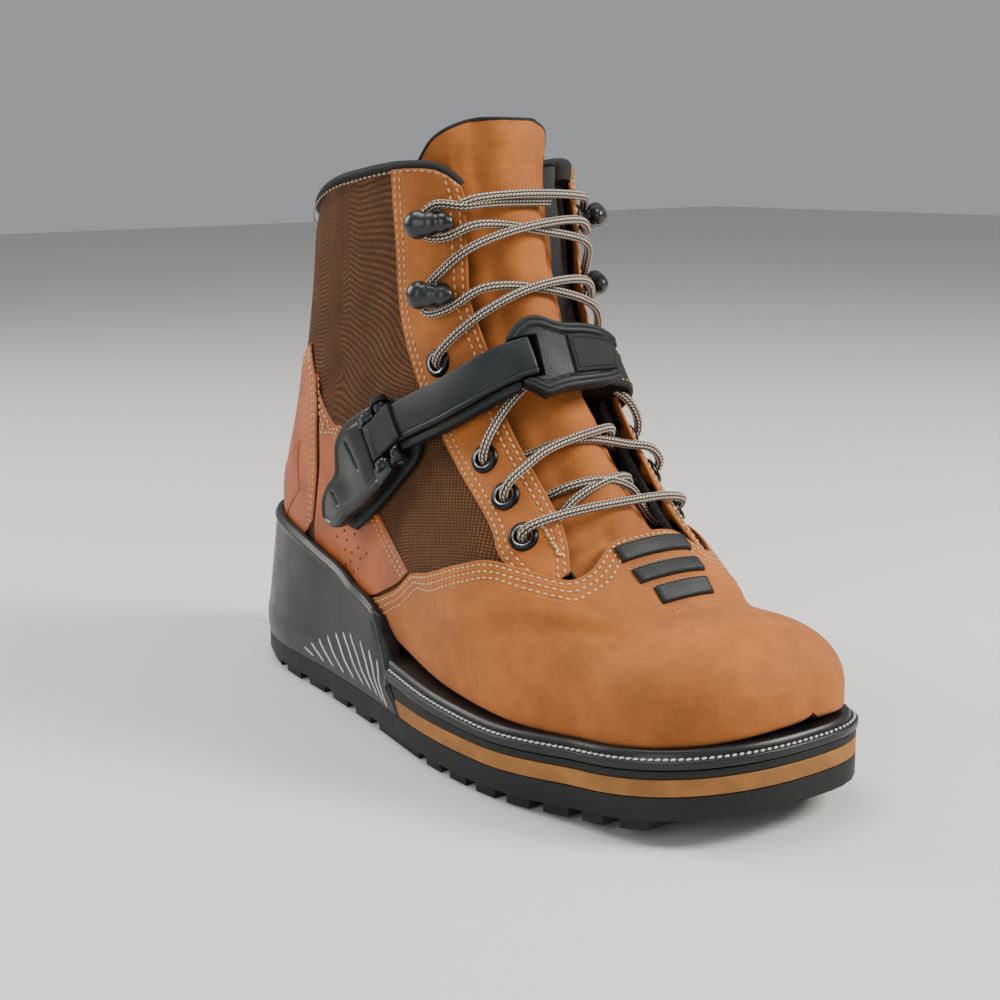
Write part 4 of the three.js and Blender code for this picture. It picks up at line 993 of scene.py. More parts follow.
def make_linings():
    quarter = Panel(
        bottom=0.315, top=lambda v: collar_at(mix(30.5, 329.5, v)) - BINDING,
        front=lambda s: along(EYESTAY_FRONT, s) + 1.5, back=lambda s: 360 - along(EYESTAY_FRONT, s) - 1.5,
        outer=-4.7, size=(210, 260), pitch=4,
    )
    quarter.make("quarter_lining_mesh", "lining", 1.8, ("quarter_lining",))


# ---------------------------------------------------------------- bars, eyelets and hooks

BARS = [(0.283, -16, 14.5), (0.25, -15, 13.5), (0.221, -13, 10)]


def make_bars():
    """Three moulded bars, each with a ribbed crown, set in a stitched pocket."""
    for k, (s, start, end) in enumerate(BARS):
        panel = Panel(bottom=s - 0.0105, top=s + 0.0105, front=start, back=end,
                      outer=lambda a, b: vamp_lift(a, b) + 2.1, size=(5, 32), pitch=0.5)
        across = np.minimum(panel.edges["bottom"], panel.edges["top"])
        ends = np.minimum(panel.edges["front"], panel.edges["back"])
        panel.rise = panel.rise - 1.1 * (1 - np.sqrt(1 - (1 - np.clip(ends / 2.2, 0, 1)) ** 2))
        panel.rise = panel.rise - 1.3 * (1 - np.sqrt(1 - (1 - np.clip(across / 1.3, 0, 1)) ** 2))
        panel.rise = panel.rise - 0.32 * np.exp(-((across - 1.75) / 0.22) ** 2) * smooth((ends - 2) / 1)
        panel.make(f"vamp_bar_{k + 1}_moulding", "matt", 2.0, (f"vamp_bar_{k + 1}",))
        seam = []
        for shift in (-0.0155, 0.0155):
            th = np.linspace(start - 1, end + 1, 24)
            seam.append((last(s + shift, th, vamp_lift(s + shift, th) + 0.05), outward(s + shift, th)))
        stitches(f"vamp_bar_{k + 1}_stitching", seam, "dark_thread", pitch=2.2, width=0.6)


def turned(profile, s, th):
    """A profile of (radius, height) turned round the outward axis at a place on the upper."""
    bm = bmesh.new()
    verts = [bm.verts.new((r * MM, 0, z * MM)) for r, z in profile]
    edges = [bm.edges.new((a, b)) for a, b in zip(verts, verts[1:])]
    bmesh.ops.spin(bm, geom=verts + edges, cent=(0, 0, 0), axis=(0, 0, 1), angle=2 * math.pi, steps=28,
                   use_merge=True)
    bmesh.ops.remove_doubles(bm, verts=bm.verts, dist=1e-7)
    bmesh.ops.recalc_face_normals(bm, faces=bm.faces)
    bm.transform(standing(s, th))
    return bm


def standing(s, th, height=0.0):
    """The place on the upper with +Z outwards and +X towards the collar, in metres."""
    z = Vector(outward(s, th))
    x = Vector(last(s + 0.004, th) - last(s - 0.004, th)).normalized()
    y = z.cross(x).normalized()
    x = y.cross(z)
    turn = Matrix((x, y, z)).transposed().to_4x4()
    return Matrix.Translation(Vector(last(s, th, height)) * MM) @ turn


def make_eyelets():
    barrel = [(3.2, -3.4), (3.2, 0.7), (3.35, 1.15), (3.7, 1.45), (4.3, 1.5), (4.9, 1.2), (5.3, 0.7),
              (5.5, 0.25), (5.5, -0.1), (3.9, -0.1), (3.9, -3.4), (3.2, -3.4)]
    ring = [(3.22, 0.85), (3.3, 1.25), (3.55, 1.5), (3.85, 1.56), (3.6, 1.3), (3.22, 0.85)]
    for word, side in (("lateral", 1), ("medial", -1)):
        for k, (s, th) in enumerate(EYELETS):
            name = f"eyelet_{word}_{k + 1}"
            keep(turned(barrel, s, side * th), name + "_ring", "gunmetal", replaces=(name,), sharp=60)
            keep(turned(ring, s, side * th), name + "_wear", "bright", sharp=60)


def make_hooks():
    """Speed hooks: a riveted foot, a neck, and a smooth three-lobed head."""
    foot = [(0, 1.6), (3.2, 1.5), (4.6, 1.1), (5.2, 0.5), (5.2, 0.2), (0, 0.2)]
    lobes = [(4.6, 0.3, 8.0, 5.3), (2.2, 0.1, 8.3, 4.5), (-0.4, 0, 8.3, 4.4), (-2.4, 0, 8.2, 3.5),
             (-5.2, -0.1, 7.8, 3.7), (-6.6, -0.1, 7.4, 2.9)]
    for word, side in (("lateral", 1), ("medial", -1)):
        for k, (s, th) in enumerate(HOOKS):
            name = f"hook_{word}_{k + 1}"
            bm = turned(foot, s, side * th)
            place = standing(s, side * th)
            head = bmesh.new()
            for y, x, z, r in lobes:
                move = Matrix.Translation((x * MM, y * side * MM, z * MM))
                matrix = move @ Matrix.Diagonal((r * 1.02 * MM, r * MM, r * 0.82 * MM, 1))
                bmesh.ops.create_icosphere(head, subdivisions=3, radius=1, matrix=matrix)
            stem = Matrix.Translation((0, 0, 4.4 * MM))
            bmesh.ops.create_cone(head, cap_ends=True, segments=20, radius1=2.4 * MM, radius2=2.9 * MM,
                                  depth=7 * MM, matrix=stem)
            head.transform(place)
            merge_into(bm, head)
            piece = keep(bm, name + "_head", "gloss", replaces=(name,), sharp=180)
            melt = piece.modifiers.new("melt", "REMESH")
            melt.mode = "VOXEL"
            melt.voxel_size = 0.38 * MM
            melt.use_smooth_shade = True
            ease = piece.modifiers.new("ease", "SMOOTH")
            ease.factor = 0.6
            ease.iterations = 4


# ---------------------------------------------------------------- lace

UNDER = LINING_BOTTOM - 0.6 - 1.6
ON_TONGUE = -2.2
OVER_TONGUE = 1.6


def crossing(start, end, side, height):
    s0, th0 = start
    s1, th1 = end
    at = lambda f: mix(s0, s1, f)
    return [
        (s0, side * th0, -4.2), (s0, side * th0, 2), (at(0.05), side * (th0 - 3.5), 4.2),
        (at(0.17), side * (th0 - 12), 3.4), (at(0.3), side * 20, height + 1.2), (at(0.48), 0, height),
        (at(0.57), -side * 8, height - 1), (at(0.66), -side * 16, -5.8), (at(0.76), -side * 23, UNDER),
        (at(0.92), -side * (th1 - 7), UNDER), (s1, -side * (th1 - 1.5), UNDER + 0.5),
    ]


def to_hook(start, end, side, height, out):
    s0, th0 = start
    s1, th1 = end
    at = lambda f: mix(s0, s1, f)
    first = [(s0, side * th0, -4.2), (s0, side * th0, 2), (at(0.06), side * (th0 - 3.5), 4.2)] if out else []
    return first + [
        (at(0.25), side * 30, 3.4), (at(0.5), side * 4, height), (at(0.72), -side * 24, 2.6),
        (s1 - 0.036, -side * (th1 - 4), 3.4), (s1 - 0.018, -side * (th1 + 6.5), 3.2),
        (s1 + 0.014, -side * (th1 + 7.5), 3.2), (s1 + 0.034, -side * (th1 - 1), 3),
    ]


def lace_route():
    e1, e2, e3, e4 = EYELETS
    h1, h2 = HOOKS
    inside = [(e1[0], e1[1], -4.2), (e1[0] + 0.001, e1[1] - 2.5, UNDER + 0.2), (0.372, 24, UNDER),
              (0.378, 14, -5.4), (0.385, 0, ON_TONGUE - 0.6), (0.394, -14, -5.4), (0.4, -24, UNDER),
              (e2[0] - 0.002, -(e2[1] - 4), UNDER)]

    def chain(side, low, high):
        return [
            *[(s, side * th, h) for s, th, h in inside],
            *crossing(e2, e3, -side, low),
            *crossing(e3, e4, side, high),
            *to_hook(e4, h1, -side, low + 1, True),
            *to_hook((h1[0] + 0.03, h1[1]), h2, side, high + 0.4, False),
        ]

    first = chain(1, ON_TONGUE, OVER_TONGUE) + [(0.885, -25, 2.6), (0.888, 0, 1.6), (0.884, 22, 2.4),
                                                (0.878, 30, 2.6)]
    second = chain(-1, OVER_TONGUE, ON_TONGUE) + [(0.872, 30, 2.6), (0.873, 18, 0.2), (0.874, 6, -1.6),
                                                  (0.872, -8, -1.8)]
    bar = [(e1[0], -e1[1], 1.8), (e1[0] - 0.003, -e1[1] + 4, 4), (0.35, -22, 2.6), (0.348, 0, 0.4),
           (0.35, 22, 2.6), (e1[0] - 0.003, e1[1] - 4, 4), (e1[0], e1[1], 1.8)]
    return second[::-1] + bar + first


def centripetal(points, steps):
    """A centripetal Catmull-Rom curve through points."""
    p = np.array(points, float)
    p = np.concatenate([[2 * p[0] - p[1]], p, [2 * p[-1] - p[-2]]])
    out = []
    for a, b, c, d in zip(p, p[1:], p[2:], p[3:]):
        t1 = np.linalg.norm(b - a) ** 0.5
        t2 = t1 + np.linalg.norm(c - b) ** 0.5
        t3 = t2 + np.linalg.norm(d - c) ** 0.5
        for t in np.linspace(t1, t2, steps, endpoint=False):
            a1 = a * (t1 - t) / t1 + b * t / t1
            a2 = b * (t2 - t) / (t2 - t1) + c * (t - t1) / (t2 - t1)
            a3 = c * (t3 - t) / (t3 - t2) + d * (t - t2) / (t3 - t2)
            b1 = a1 * (t2 - t) / t2 + a2 * t / t2
            b2 = a2 * (t3 - t) / (t3 - t1) + a3 * (t - t1) / (t3 - t1)
            out.append(b1 * (t2 - t) / (t2 - t1) + b2 * (t - t1) / (t2 - t1))
    out.append(p[-2])
    return np.array(out)


def make_lace():
    route = np.array(lace_route())
    curve = centripetal(last(route[:, 0], route[:, 1], route[:, 2]), 9)
    for _ in range(2):
        curve[1:-1] = 0.25 * curve[:-2] + 0.5 * curve[1:-1] + 0.25 * curve[2:]
    bm = tube(curve, sizes().lace / MM / 2 * 1.04, 16)
    keep(bm, "lace_braid", "braid", replaces=("lace",), sharp=60)


# ---------------------------------------------------------------- sole

HEEL_CENTRE = 78
HEEL_LENGTH = 73
HEEL_PLAN = 2.5
SOLE_MARGIN = 4.5
STRIPE = (12.3, 18.3)
MIDSOLE = (18.6, 21.3)
WELT = (21.6, 25.7)
WAIST = 6
WAIST_SLANT = 0.75
WAIST_GAP = 0.3
LAYER_INSIDE = -14
WELT_INSIDE = -16


def feather_line():
    """The closed outline of the upper's feather in plan, toe first up the lateral side, and its normals."""
    left, right = [], []
    y0, wl0, wm0 = SECTIONS[0, 2], SECTIONS[0, 4], SECTIONS[0, 5]
    for phi in np.linspace(0.5, 88, 44):
        across = math.sin(phi * DEG) ** (2 / TOE_PLAN)
        y = y0 - TOE_LENGTH * math.cos(phi * DEG) ** (2 / TOE_PLAN)
        left.append((TOE_CENTRE - wl0 * across, y))
        right.append((TOE_CENTRE + wm0 * across, y))
    for s in np.linspace(0.203, 0.515, 70):
        centre = TOE_CENTRE * min(1, max(0, (0.36 - s) / 0.16))
        y = float(column(2, np.array(s)))
        left.append((centre - float(column(4, np.array(s))), y))
        right.append((centre + float(column(5, np.array(s))), y))
    wl, wm = float(column(4, np.array(0.52))), float(column(5, np.array(0.52)))
    for psi in np.linspace(10, 89.5, 44):
        across = math.cos(psi * DEG) ** (2 / HEEL_PLAN)
        y = HEEL_CENTRE + HEEL_LENGTH * math.sin(psi * DEG) ** (2 / HEEL_PLAN)
        left.append((-wl * across, y))
        right.append((wm * across, y))
    outline = np.array(left + right[::-1])
    outline[:, 0] += swing(outline[:, 1])
    for _ in range(3):
        outline = 0.25 * np.roll(outline, 1, 0) + 0.5 * outline + 0.25 * np.roll(outline, -1, 0)
    step = np.linalg.norm(np.roll(outline, -1, 0) - outline, axis=1)
    run = np.concatenate([[0], np.cumsum(step)])
    closed = np.concatenate([outline, outline[:1]])
    at = np.linspace(0, run[-1], 401)[:-1]
    outline = np.stack([np.interp(at, run, closed[:, c]) for c in range(2)], -1)
    way = np.roll(outline, -1, 0) - np.roll(outline, 1, 0)
    for _ in range(2):
        way = 0.25 * np.roll(way, 1, 0) + 0.5 * way + 0.25 * np.roll(way, -1, 0)
    way = way / np.linalg.norm(way, axis=1, keepdims=True)
    return outline, np.stack([-way[:, 1], way[:, 0]], -1)


def wedge(y):
    """Extra height of the upper's floor towards the heel."""
    return 12 * np.clip((y + 66) / 196, 0, 1.2) ** 1.3


def upper_tree():
    """The upper's surface, to measure against."""
    s = np.concatenate([np.linspace(0.0005, 0.1, 60), np.linspace(0.102, 0.9, 180)])
    bm = lay(last(s[:, None], np.linspace(-180, 180, 241)[None, :]))
    tree = BVHTree.FromBMesh(bm)
    bm.free()
    return tree


def reach(tree, places, normals, heights, missing=-4.0):
    """How far the upper stands out from each place in plan, at a height."""
    out = []
    for (x, y), (nx, ny), z in zip(places, normals, heights):
        way = Vector((nx, ny, 0)).normalized()
        hit = tree.ray_cast(Vector((x, y, z)) * MM + way * 0.03, -way, 0.05)
        out.append(missing if hit[0] is None else 30 - hit[3] / MM)
    return np.array(out)


def band(profile):
    """A band round the sole: a closed profile of (out, height) carried along the feather line."""
    outline, normal = feather_line()
    sections = np.array(profile, float)
    if sections.ndim == 2:
        sections = np.broadcast_to(sections, (len(outline), *sections.shape))
    rings = []
    for (x, y), (nx, ny), section in zip(outline, normal, sections):
        out, z = section[:, 0], section[:, 1]
        extra = section[:, 2] * wedge(y) if section.shape[1] > 2 else 0
        px, py = x + nx * out, y + ny * out
        rings.append(np.stack([px, py, z + spring(py) + extra], -1))
    return np.array(rings + rings[:1])


def rounded(corners, radius, steps=4):
    """A closed outline of (x, z[, share]) with every corner rounded."""
    pts = np.array(corners, float)
    out = []
    for a, b, c in zip(np.roll(pts, 1, 0), pts, np.roll(pts, -1, 0)):
        before, after = a - b, c - b
        la, lc = np.linalg.norm(before[:2]), np.linalg.norm(after[:2])
        r = min(radius, 0.45 * la, 0.45 * lc)
        start, end = b + before * (r / la), b + after * (r / lc)
        for t in np.linspace(0, 1, steps + 1):
            out.append((1 - t) ** 2 * start + 2 * t * (1 - t) * b + t * t * end)
    out.append(out[0])
    return out


def cut_at_waist(bm):
    """Keeps what lies in front of the slanted joint at the waist."""
    normal = Vector((0, 1, -WAIST_SLANT)).normalized()
    place = Vector((0, (WAIST - WAIST_GAP) * MM, FEATHER * MM))
    geom = bm.verts[:] + bm.edges[:] + bm.faces[:]
    bmesh.ops.bisect_plane(bm, geom=geom, plane_co=place, plane_no=normal, clear_outer=True, clear_inner=False)
    bmesh.ops.holes_fill(bm, edges=[e for e in bm.edges if e.is_boundary], sides=0)
    bmesh.ops.recalc_face_normals(bm, faces=bm.faces)


def make_sole_layers():
    m, inside = SOLE_MARGIN, LAYER_INSIDE
    stripe = rounded([(inside, STRIPE[0]), (m, STRIPE[0]), (m, STRIPE[1]), (inside, STRIPE[1])], 0.5)
    bm = lay(band(stripe), wrap=True)
    cut_at_waist(bm)
    keep(bm, "stripe_band", "tan", replaces=("midsole_stripe",))
    low, high = MIDSOLE
    midsole = rounded([(inside, low, 0), (m, low, 0), (m, high, 0.5), (inside, high, 0.5)], 0.5)
    bm = lay(band(midsole), wrap=True)
    cut_at_waist(bm)
    keep(bm, "midsole_band", "rubber", replaces=("midsole",))
    w0, w1 = WELT
    outline, normal = feather_line()
    touch = reach(upper_tree(), outline, normal, w1 + 1.6 + spring(outline[:, 1]) + wedge(outline[:, 1]))
    for _ in range(4):
        touch = 0.25 * np.roll(touch, 1) + 0.5 * touch + 0.25 * np.roll(touch, -1)
    touch = np.clip(touch, -11, 0.4)
    profiles = [rounded([
        (WELT_INSIDE, w0, 0.6), (m + 0.6, w0, 0.6), (m + 0.6, w1 - 1.3, 1), (m - 0.2, w1 - 0.8, 1),
        (m - 1.5, w1 - 1.2, 1), (m - 2.0, w1 + 0.6, 1), (m - 3.0, w1 + 1.9, 1), (a + 0.9, w1 + 2.1, 1),
        (a - 0.4, w1 + 1.2, 1), (WELT_INSIDE, w1 - 0.5, 1),
    ], 0.9, 5) for a in touch]
    bm = lay(band(profiles), wrap=True)
    cut_at_waist(bm)
    keep(bm, "welt_strip", "cup", replaces=("welt",))
    out, z = m - 0.75, w1 - 0.75
    places = np.stack([outline[:, 0] + normal[:, 0] * out, outline[:, 1] + normal[:, 1] * out], -1)
    heights = z + spring(places[:, 1]) + wedge(outline[:, 1])
    path = np.concatenate([places, heights[:, None]], 1)
    limit = WAIST + (path[:, 2] - FEATHER) * WAIST_SLANT - 1
    order = np.roll(np.arange(len(path)), -int(np.argmax(path[:, 1])))
    path, limit = path[order], limit[order]
    path = path[path[:, 1] < limit]
    up = np.tile([0.0, 0.0, 1.0], (len(path), 1))
    stitches("welt_stitching", [(path, up)], "welt_thread", pitch=2.5, width=1.05, sink=0.2, fill=0.9,
             lean=0.32)


def make_outsole():
    """The outsole's wall and bottom, with its lugs, from the CAD shape with softened edges."""
    refined("outsole", "rubber", bevel=0.5, segments=2, name="outsole_tread")


RIM = [(-10, 30), (8, 36), (16, 41), (23, 46), (35, 49.5), (51, 51.5), (61, 55), (77, 58.5), (92, 62),
       (125, 66), (170, 68)]
CUP_LOW = 12.3
CUP_SHOULDER = 22
CUP_LEAN = 35
CUP_LIP = 3.6
# The turn of the cup's rim: how far inwards and how far up from the wall's upper edge.
LIP = [(0.35, 0.35), (0.9, 0.6), (1.6, 0.65), (2.3, 0.45), (2.9, 0.0), (3.2, -0.8), (3.3, -8)]


def heel_arc(z, count):
    """Evenly spread places and normals round the heel at one height, from the joint at the waist."""
    outline, normal = feather_line()
    start = int(np.argmin(outline[:, 1]))
    outline, normal = np.roll(outline, -start, 0), np.roll(normal, -start, 0)
    front = WAIST + 0.4 + (z - FEATHER) * WAIST_SLANT
    y = outline[:, 1]
    inside = np.nonzero(y > front)[0]
    low, high = inside[0], inside[-1]
    ends = []
    for near, far in ((low, low - 1), (high, high + 1)):
        t = (y[near] - front) / (y[near] - y[far])
        ends.append((mix(outline[near], outline[far], t), mix(normal[near], normal[far], t)))
    points = np.concatenate([[ends[0][0]], outline[low:high + 1], [ends[1][0]]])
    normals = np.concatenate([[ends[0][1]], normal[low:high + 1], [ends[1][1]]])
    run = np.concatenate([[0], np.cumsum(np.linalg.norm(np.diff(points, axis=0), axis=1))])
    middle = np.linspace(3.2, run[-1] - 3.2, count - 14)
    edge = np.array([0, 0.15, 0.45, 0.9, 1.5, 2.1, 2.7])
    at = np.concatenate([edge, middle, run[-1] - edge[::-1]])
    pick = lambda a: np.stack([np.interp(at, run, a[:, c]) for c in range(2)], -1)
    return pick(points), pick(normals), np.minimum(at, run[-1] - at)


def cup_row(tree, height, count):
    """One row of the cup's wall: its places, at a share of the way up to the rim."""
    rim = np.full(count, 50.0)
    for _ in range(14):
        z = mix(CUP_LOW, rim, height)
        arcs = [heel_arc(level, count) for level in (z.min(), z.max())]
        share = ((z - z.min()) / max(1e-6, z.max() - z.min()))[:, None]
        places = mix(arcs[0][0], arcs[1][0], share)
        rim = 0.5 * rim + 0.5 * along(RIM, places[:, 1])
    normals = mix(arcs[0][1], arcs[1][1], share)
    near_front = mix(arcs[0][2], arcs[1][2], share[:, 0])
    hug = reach(tree, places, normals, z, 0.0) + CUP_LIP
    top = reach(tree, places, normals, rim, 0.0) + CUP_LIP
    lean = np.clip((z - CUP_SHOULDER) / np.maximum(4, rim - CUP_SHOULDER), 0, 1)
    out = np.maximum(mix(SOLE_MARGIN, top, lean), mix(-9, hug, smooth((z - CUP_LEAN) / 10)))
    out = out + 0.5 * np.sin(math.pi * np.clip((z - CUP_LOW) / 14, 0, 1))
    below = rim - z
    lip = 0.9 * np.exp(-((below - 2.2) / 1.5) ** 2) - 0.6 * np.exp(-((below - 5.6) / 1.6) ** 2)
    front_lip = 0.9 * np.exp(-((near_front - 2.3) / 1.4) ** 2)
    front_lip = front_lip - 0.5 * np.exp(-((near_front - 5.6) / 1.7) ** 2)
    out = out + np.maximum(lip, front_lip * smooth((z - 14) / 8)) + edge_round(near_front, 1.5)
    return places, normals, z, out, hug


def make_heel_cup():
    tree = upper_tree()
    count = 300
    heights = np.concatenate([np.linspace(0, 0.86, 40), np.linspace(0.88, 1, 14)])
    rows, record = [], []
    for f in heights:
        places, normals, z, out, hug = cup_row(tree, f, count)
        record.append((places, normals, z, out, hug))
        rows.append(np.concatenate([places + normals * out[:, None], z[:, None]], 1))
    places, normals, z, out, hug = record[-1]
    for inward, rise in LIP:
        inside = out - inward * np.clip((out - hug + CUP_LIP) / CUP_LIP, 0.6, 1.6)
        rows.append(np.concatenate([places + normals * inside[:, None], (z + rise)[:, None]], 1))
    points = np.array([rows[0]] + rows)
    points[0, :, :2] -= record[0][1] * 14
    ends = []
    for column in (0, -1):
        normal = np.array([r[1][column] for r in record])
        normal = np.concatenate([normal[:1], normal, np.repeat(normal[-1:], 7, 0)])
        ends.append([points[:, column] - np.concatenate([normal * d, np.zeros((len(normal), 1))], 1)
                     for d in (0.8, 2.0, 4.0)])
    points = np.concatenate([np.stack(ends[0][::-1], 1), points, np.stack(ends[1], 1)], 1)
    bm = lay(points)
    bmesh.ops.recalc_face_normals(bm, faces=bm.faces)
    outer = BVHTree.FromBMesh(bm)
    wall = bm.faces[:][len(bm.faces) // 2]
    if wall.calc_center_median().dot(Vector((wall.normal.x, wall.normal.y, 0))) < 0:
        bmesh.ops.reverse_faces(bm, faces=bm.faces)
    keep(bm, "heel_cup_moulding", "cup", replaces=("heel_cup",), sharp=50)
    make_cup_lines(outer)


# Each line on the cup: its upper end and its lower end, as (y, z).
CUP_LINES = [((83.6, 17.0), (76, 15.0)), ((77, 20.5), (66, 15.2)), ((70.5, 23.8), (56.5, 15.4)),
             ((64, 26.8), (46.5, 15.6)), ((57, 29.6), (36.5, 15.8)), ((50.5, 31.6), (27.5, 16.0)),
             ((44, 32.8), (20.5, 15.8)), ((34, 32.4), (14.5, 15.2)), ((25.5, 30.8), (10, 14.4)),
             ((18, 28.8), (6.5, 13.2))]


def make_cup_lines(wall):
    """Raised grey lines that fan out over both sides of the heel cup, laid on its wall."""
    bm = bmesh.new()
    for side in (-1, 1):
        for (y0, z0), (y1, z1) in CUP_LINES:
            points, ups = [], []
            for t in np.linspace(0, 1, 16):
                start = Vector((side * 0.09, mix(y0, y1, t) * MM, mix(z0, z1, t ** 0.92) * MM))
                hit = wall.ray_cast(start, Vector((-side, 0, 0)), 0.08)
                if hit[0] is None:
                    continue
                up = hit[1] if hit[1].x * side > 0 else -hit[1]
                points.append(np.array(hit[0] + up * 0.0001) / MM)
                ups.append(np.array(up))
            if len(points) < 4:
                continue
            t = np.linspace(0, 1, len(points))
            taper = np.clip(np.minimum(t, 1 - t) * 12 + 0.35, 0, 1)
            merge_into(bm, tube(np.array(points), 0.5, 8, up=np.array(ups), flat=0.55, taper=taper))
    keep(bm, "heel_cup_lines", "grey", sharp=180)


# ---------------------------------------------------------------- instep buckle

STRAP_WIDTH = 15.5
STRAP_RUN = [(0.583, 70.3, 7.4, 7.3), (0.571, 62.5, 7.6, 7.6), (0.558, 53, 8, 7.75), (0.55, 42, 8.6, 7.75),
             (0.546, 31, 9.6, 7.6), (0.543, 21, 10.6, 7.4), (0.541, 13.5, 11, 7.2)]
SHIELD_RUN = [(0.543, 21, 9, 9.6), (0.541, 12.5, 9, 15.4), (0.534, 4, 9, 13.2), (0.528, -6, 9, 11.4),
              (0.522, -13, 9, 8.4)]
MEDIAL_RUN = [(0.53, -3, 5.1, 8), (0.525, -13, 5.1, 8), (0.525, -24, 6.2, 8), (0.53, -38, 5, 8),
              (0.545, -58, 2, 8), (0.56, -78, 1.9, 8), (0.575, -96, 1.9, 7)]


def station(run, t):
    place = np.asarray(t, float) * (len(run) - 1)
    return [along([(i, row[k]) for i, row in enumerate(run)], place) for k in range(4)]


def run_frames(run, t):
    """Centre, side direction, normal and half width at places along a run."""
    s, th, h, w = station(run, t)
    centre = last(s, th, h)
    way = last(*station(run, np.minimum(1, t + 0.02))[:3]) - last(*station(run, np.maximum(0, t - 0.02))[:3])
    way = way / np.linalg.norm(way, axis=1, keepdims=True)
    n = outward(s, th)
    n = n - way * (n * way).sum(1, keepdims=True)
    n = n / np.linalg.norm(n, axis=1, keepdims=True)
    return centre, np.cross(n, way), n, w


def plaque(run, start, end, half, height, low, steps=80, columns=48):
    """A moulded strip along a run: its face is height(t, x, half), in from rounded sides and ends."""
    t = np.linspace(start, end, steps + 1)
    centre, side, n, w = run_frames(run, t)
    halves = half(t, w)
    step = np.linalg.norm(np.diff(centre, axis=0), axis=1)
    length = np.concatenate([[0], np.cumsum(step)])
    u = np.sin(np.linspace(-math.pi / 2, math.pi / 2, columns + 1))
    x = u[None, :] * halves[:, None]
    z = height(t[:, None], x, halves[:, None], length[:, None], length[-1] - length[:, None])
    z = np.maximum(z, low + 0.2)
    top = centre[:, None] + side[:, None] * x[..., None] + n[:, None] * z[..., None]
    base_left = top[:, :1] + n[:, None] * (low - z[:, :1])[..., None]
    base_right = top[:, -1:] + n[:, None] * (low - z[:, -1:])[..., None]
    rows = np.concatenate([base_left, top, base_right], 1)
    first = rows[:1].copy()
    first[0] += n[0] * (low - np.concatenate([[low], z[0], [low]]))[:, None]
    final = rows[-1:].copy()
    final[0] += n[-1] * (low - np.concatenate([[low], z[-1], [low]]))[:, None]
    bm = lay(np.concatenate([first, rows, final]))
    bmesh.ops.holes_fill(bm, edges=[e for e in bm.edges if e.is_boundary], sides=0)
    bmesh.ops.recalc_face_normals(bm, faces=bm.faces)
    return bm


def edge_round(distance, radius):
    t = np.clip(distance / radius, 0, 1)
    return -radius * (1 - np.sqrt(np.maximum(0, 1 - (1 - t) ** 2)))


def make_strap():
    """The strap: a smooth satin band with soft edges and one fine line along its lower side."""
    def face(t, x, half, near, far):
        inside = half - np.abs(x)
        line = -0.3 * np.exp(-((x + half - 1.9) / 0.3) ** 2)
        crown = 0.55 * (1 - (x / half) ** 2)
        return 1.1 + edge_round(inside, 0.9) + edge_round(far + 0.1, 0.9) + line + crown

    band_bm = plaque(STRAP_RUN, 0.0, 0.99, lambda t, w: w, face, -1.1, 110, 44)
    knuckle = bmesh.new()
    knuckle.loops.layers.uv.new("flow")
    a = np.linspace(1, 17, 24)
    half_neck = mix(HALF_WINDOW - 1.5, STRAP_WIDTH / 2 - 0.2, smooth((a - 1) / 8))
    neck = lambda a_grid, b, inside: 2.9 + edge_round(inside, 0.8) - 0.5 * smooth((a_grid - 12) / 5)
    merge_into(knuckle, block_on_buckle(a, -half_neck, half_neck, neck, 0.9, 24))
    buckle_cylinder(knuckle, 0, 0, -HALF_WINDOW + 1.2, HALF_WINDOW - 1.2, 3.5)
    knuckle.transform(buckle_frame())
    merge_into(band_bm, knuckle)
    keep(band_bm, "strap_moulding", "nylon", "strap", ("strap",), sharp=40)


def make_shield():
    """The instep shield: ridged rails along both sides, a window at the strap's end, and an inlay."""
    def face(t, x, half, near, far):
        inside = half - np.abs(x)
        rails = 0.9 * smooth((4.6 - inside) / 1.0) * smooth((inside + 0.2) / 0.6)
        lines = -0.45 * np.exp(-((inside - 2.1) / 0.32) ** 2) - 0.35 * np.exp(-((inside - 4.9) / 0.4) ** 2)
        window = smooth((8.1 - np.abs(x)) / 0.4) * smooth((0.285 - t) / 0.02)
        top = 2.2 + rails + lines + edge_round(inside, 1.2) + edge_round(far, 1.6) + edge_round(near, 1.0)
        frame_line = -0.5 * np.exp(-((np.abs(x) - half * 0.66) / 0.35) ** 2) * smooth((t - 0.5) / 0.02)
        frame_line = frame_line * smooth((0.94 - t) / 0.02)
        return mix(top + frame_line, -2.4, window)

    bm = plaque(SHIELD_RUN, 0.0, 1.0, lambda t, w: w, face, -2.8, 150, 90)
    keep(bm, "instep_shield_moulding", "matt", replaces=("instep_shield",), sharp=45)

    def inlay(t, x, half, near, far):
        inside = np.minimum(half - np.abs(x), np.minimum(near, far))
        step = -0.35 * np.exp(-((inside - 1.3) / 0.25) ** 2)
        return 3.25 + edge_round(inside, 0.7) + step + 0.3 * (1 - (x / half) ** 2)

    bm = plaque(SHIELD_RUN, 0.55, 0.9, lambda t, w: w * 0.66 - 1.0, inlay, 0.9, 60, 50)
    keep(bm, "shield_inlay_pad", "piping", replaces=("shield_inlay",), sharp=45)


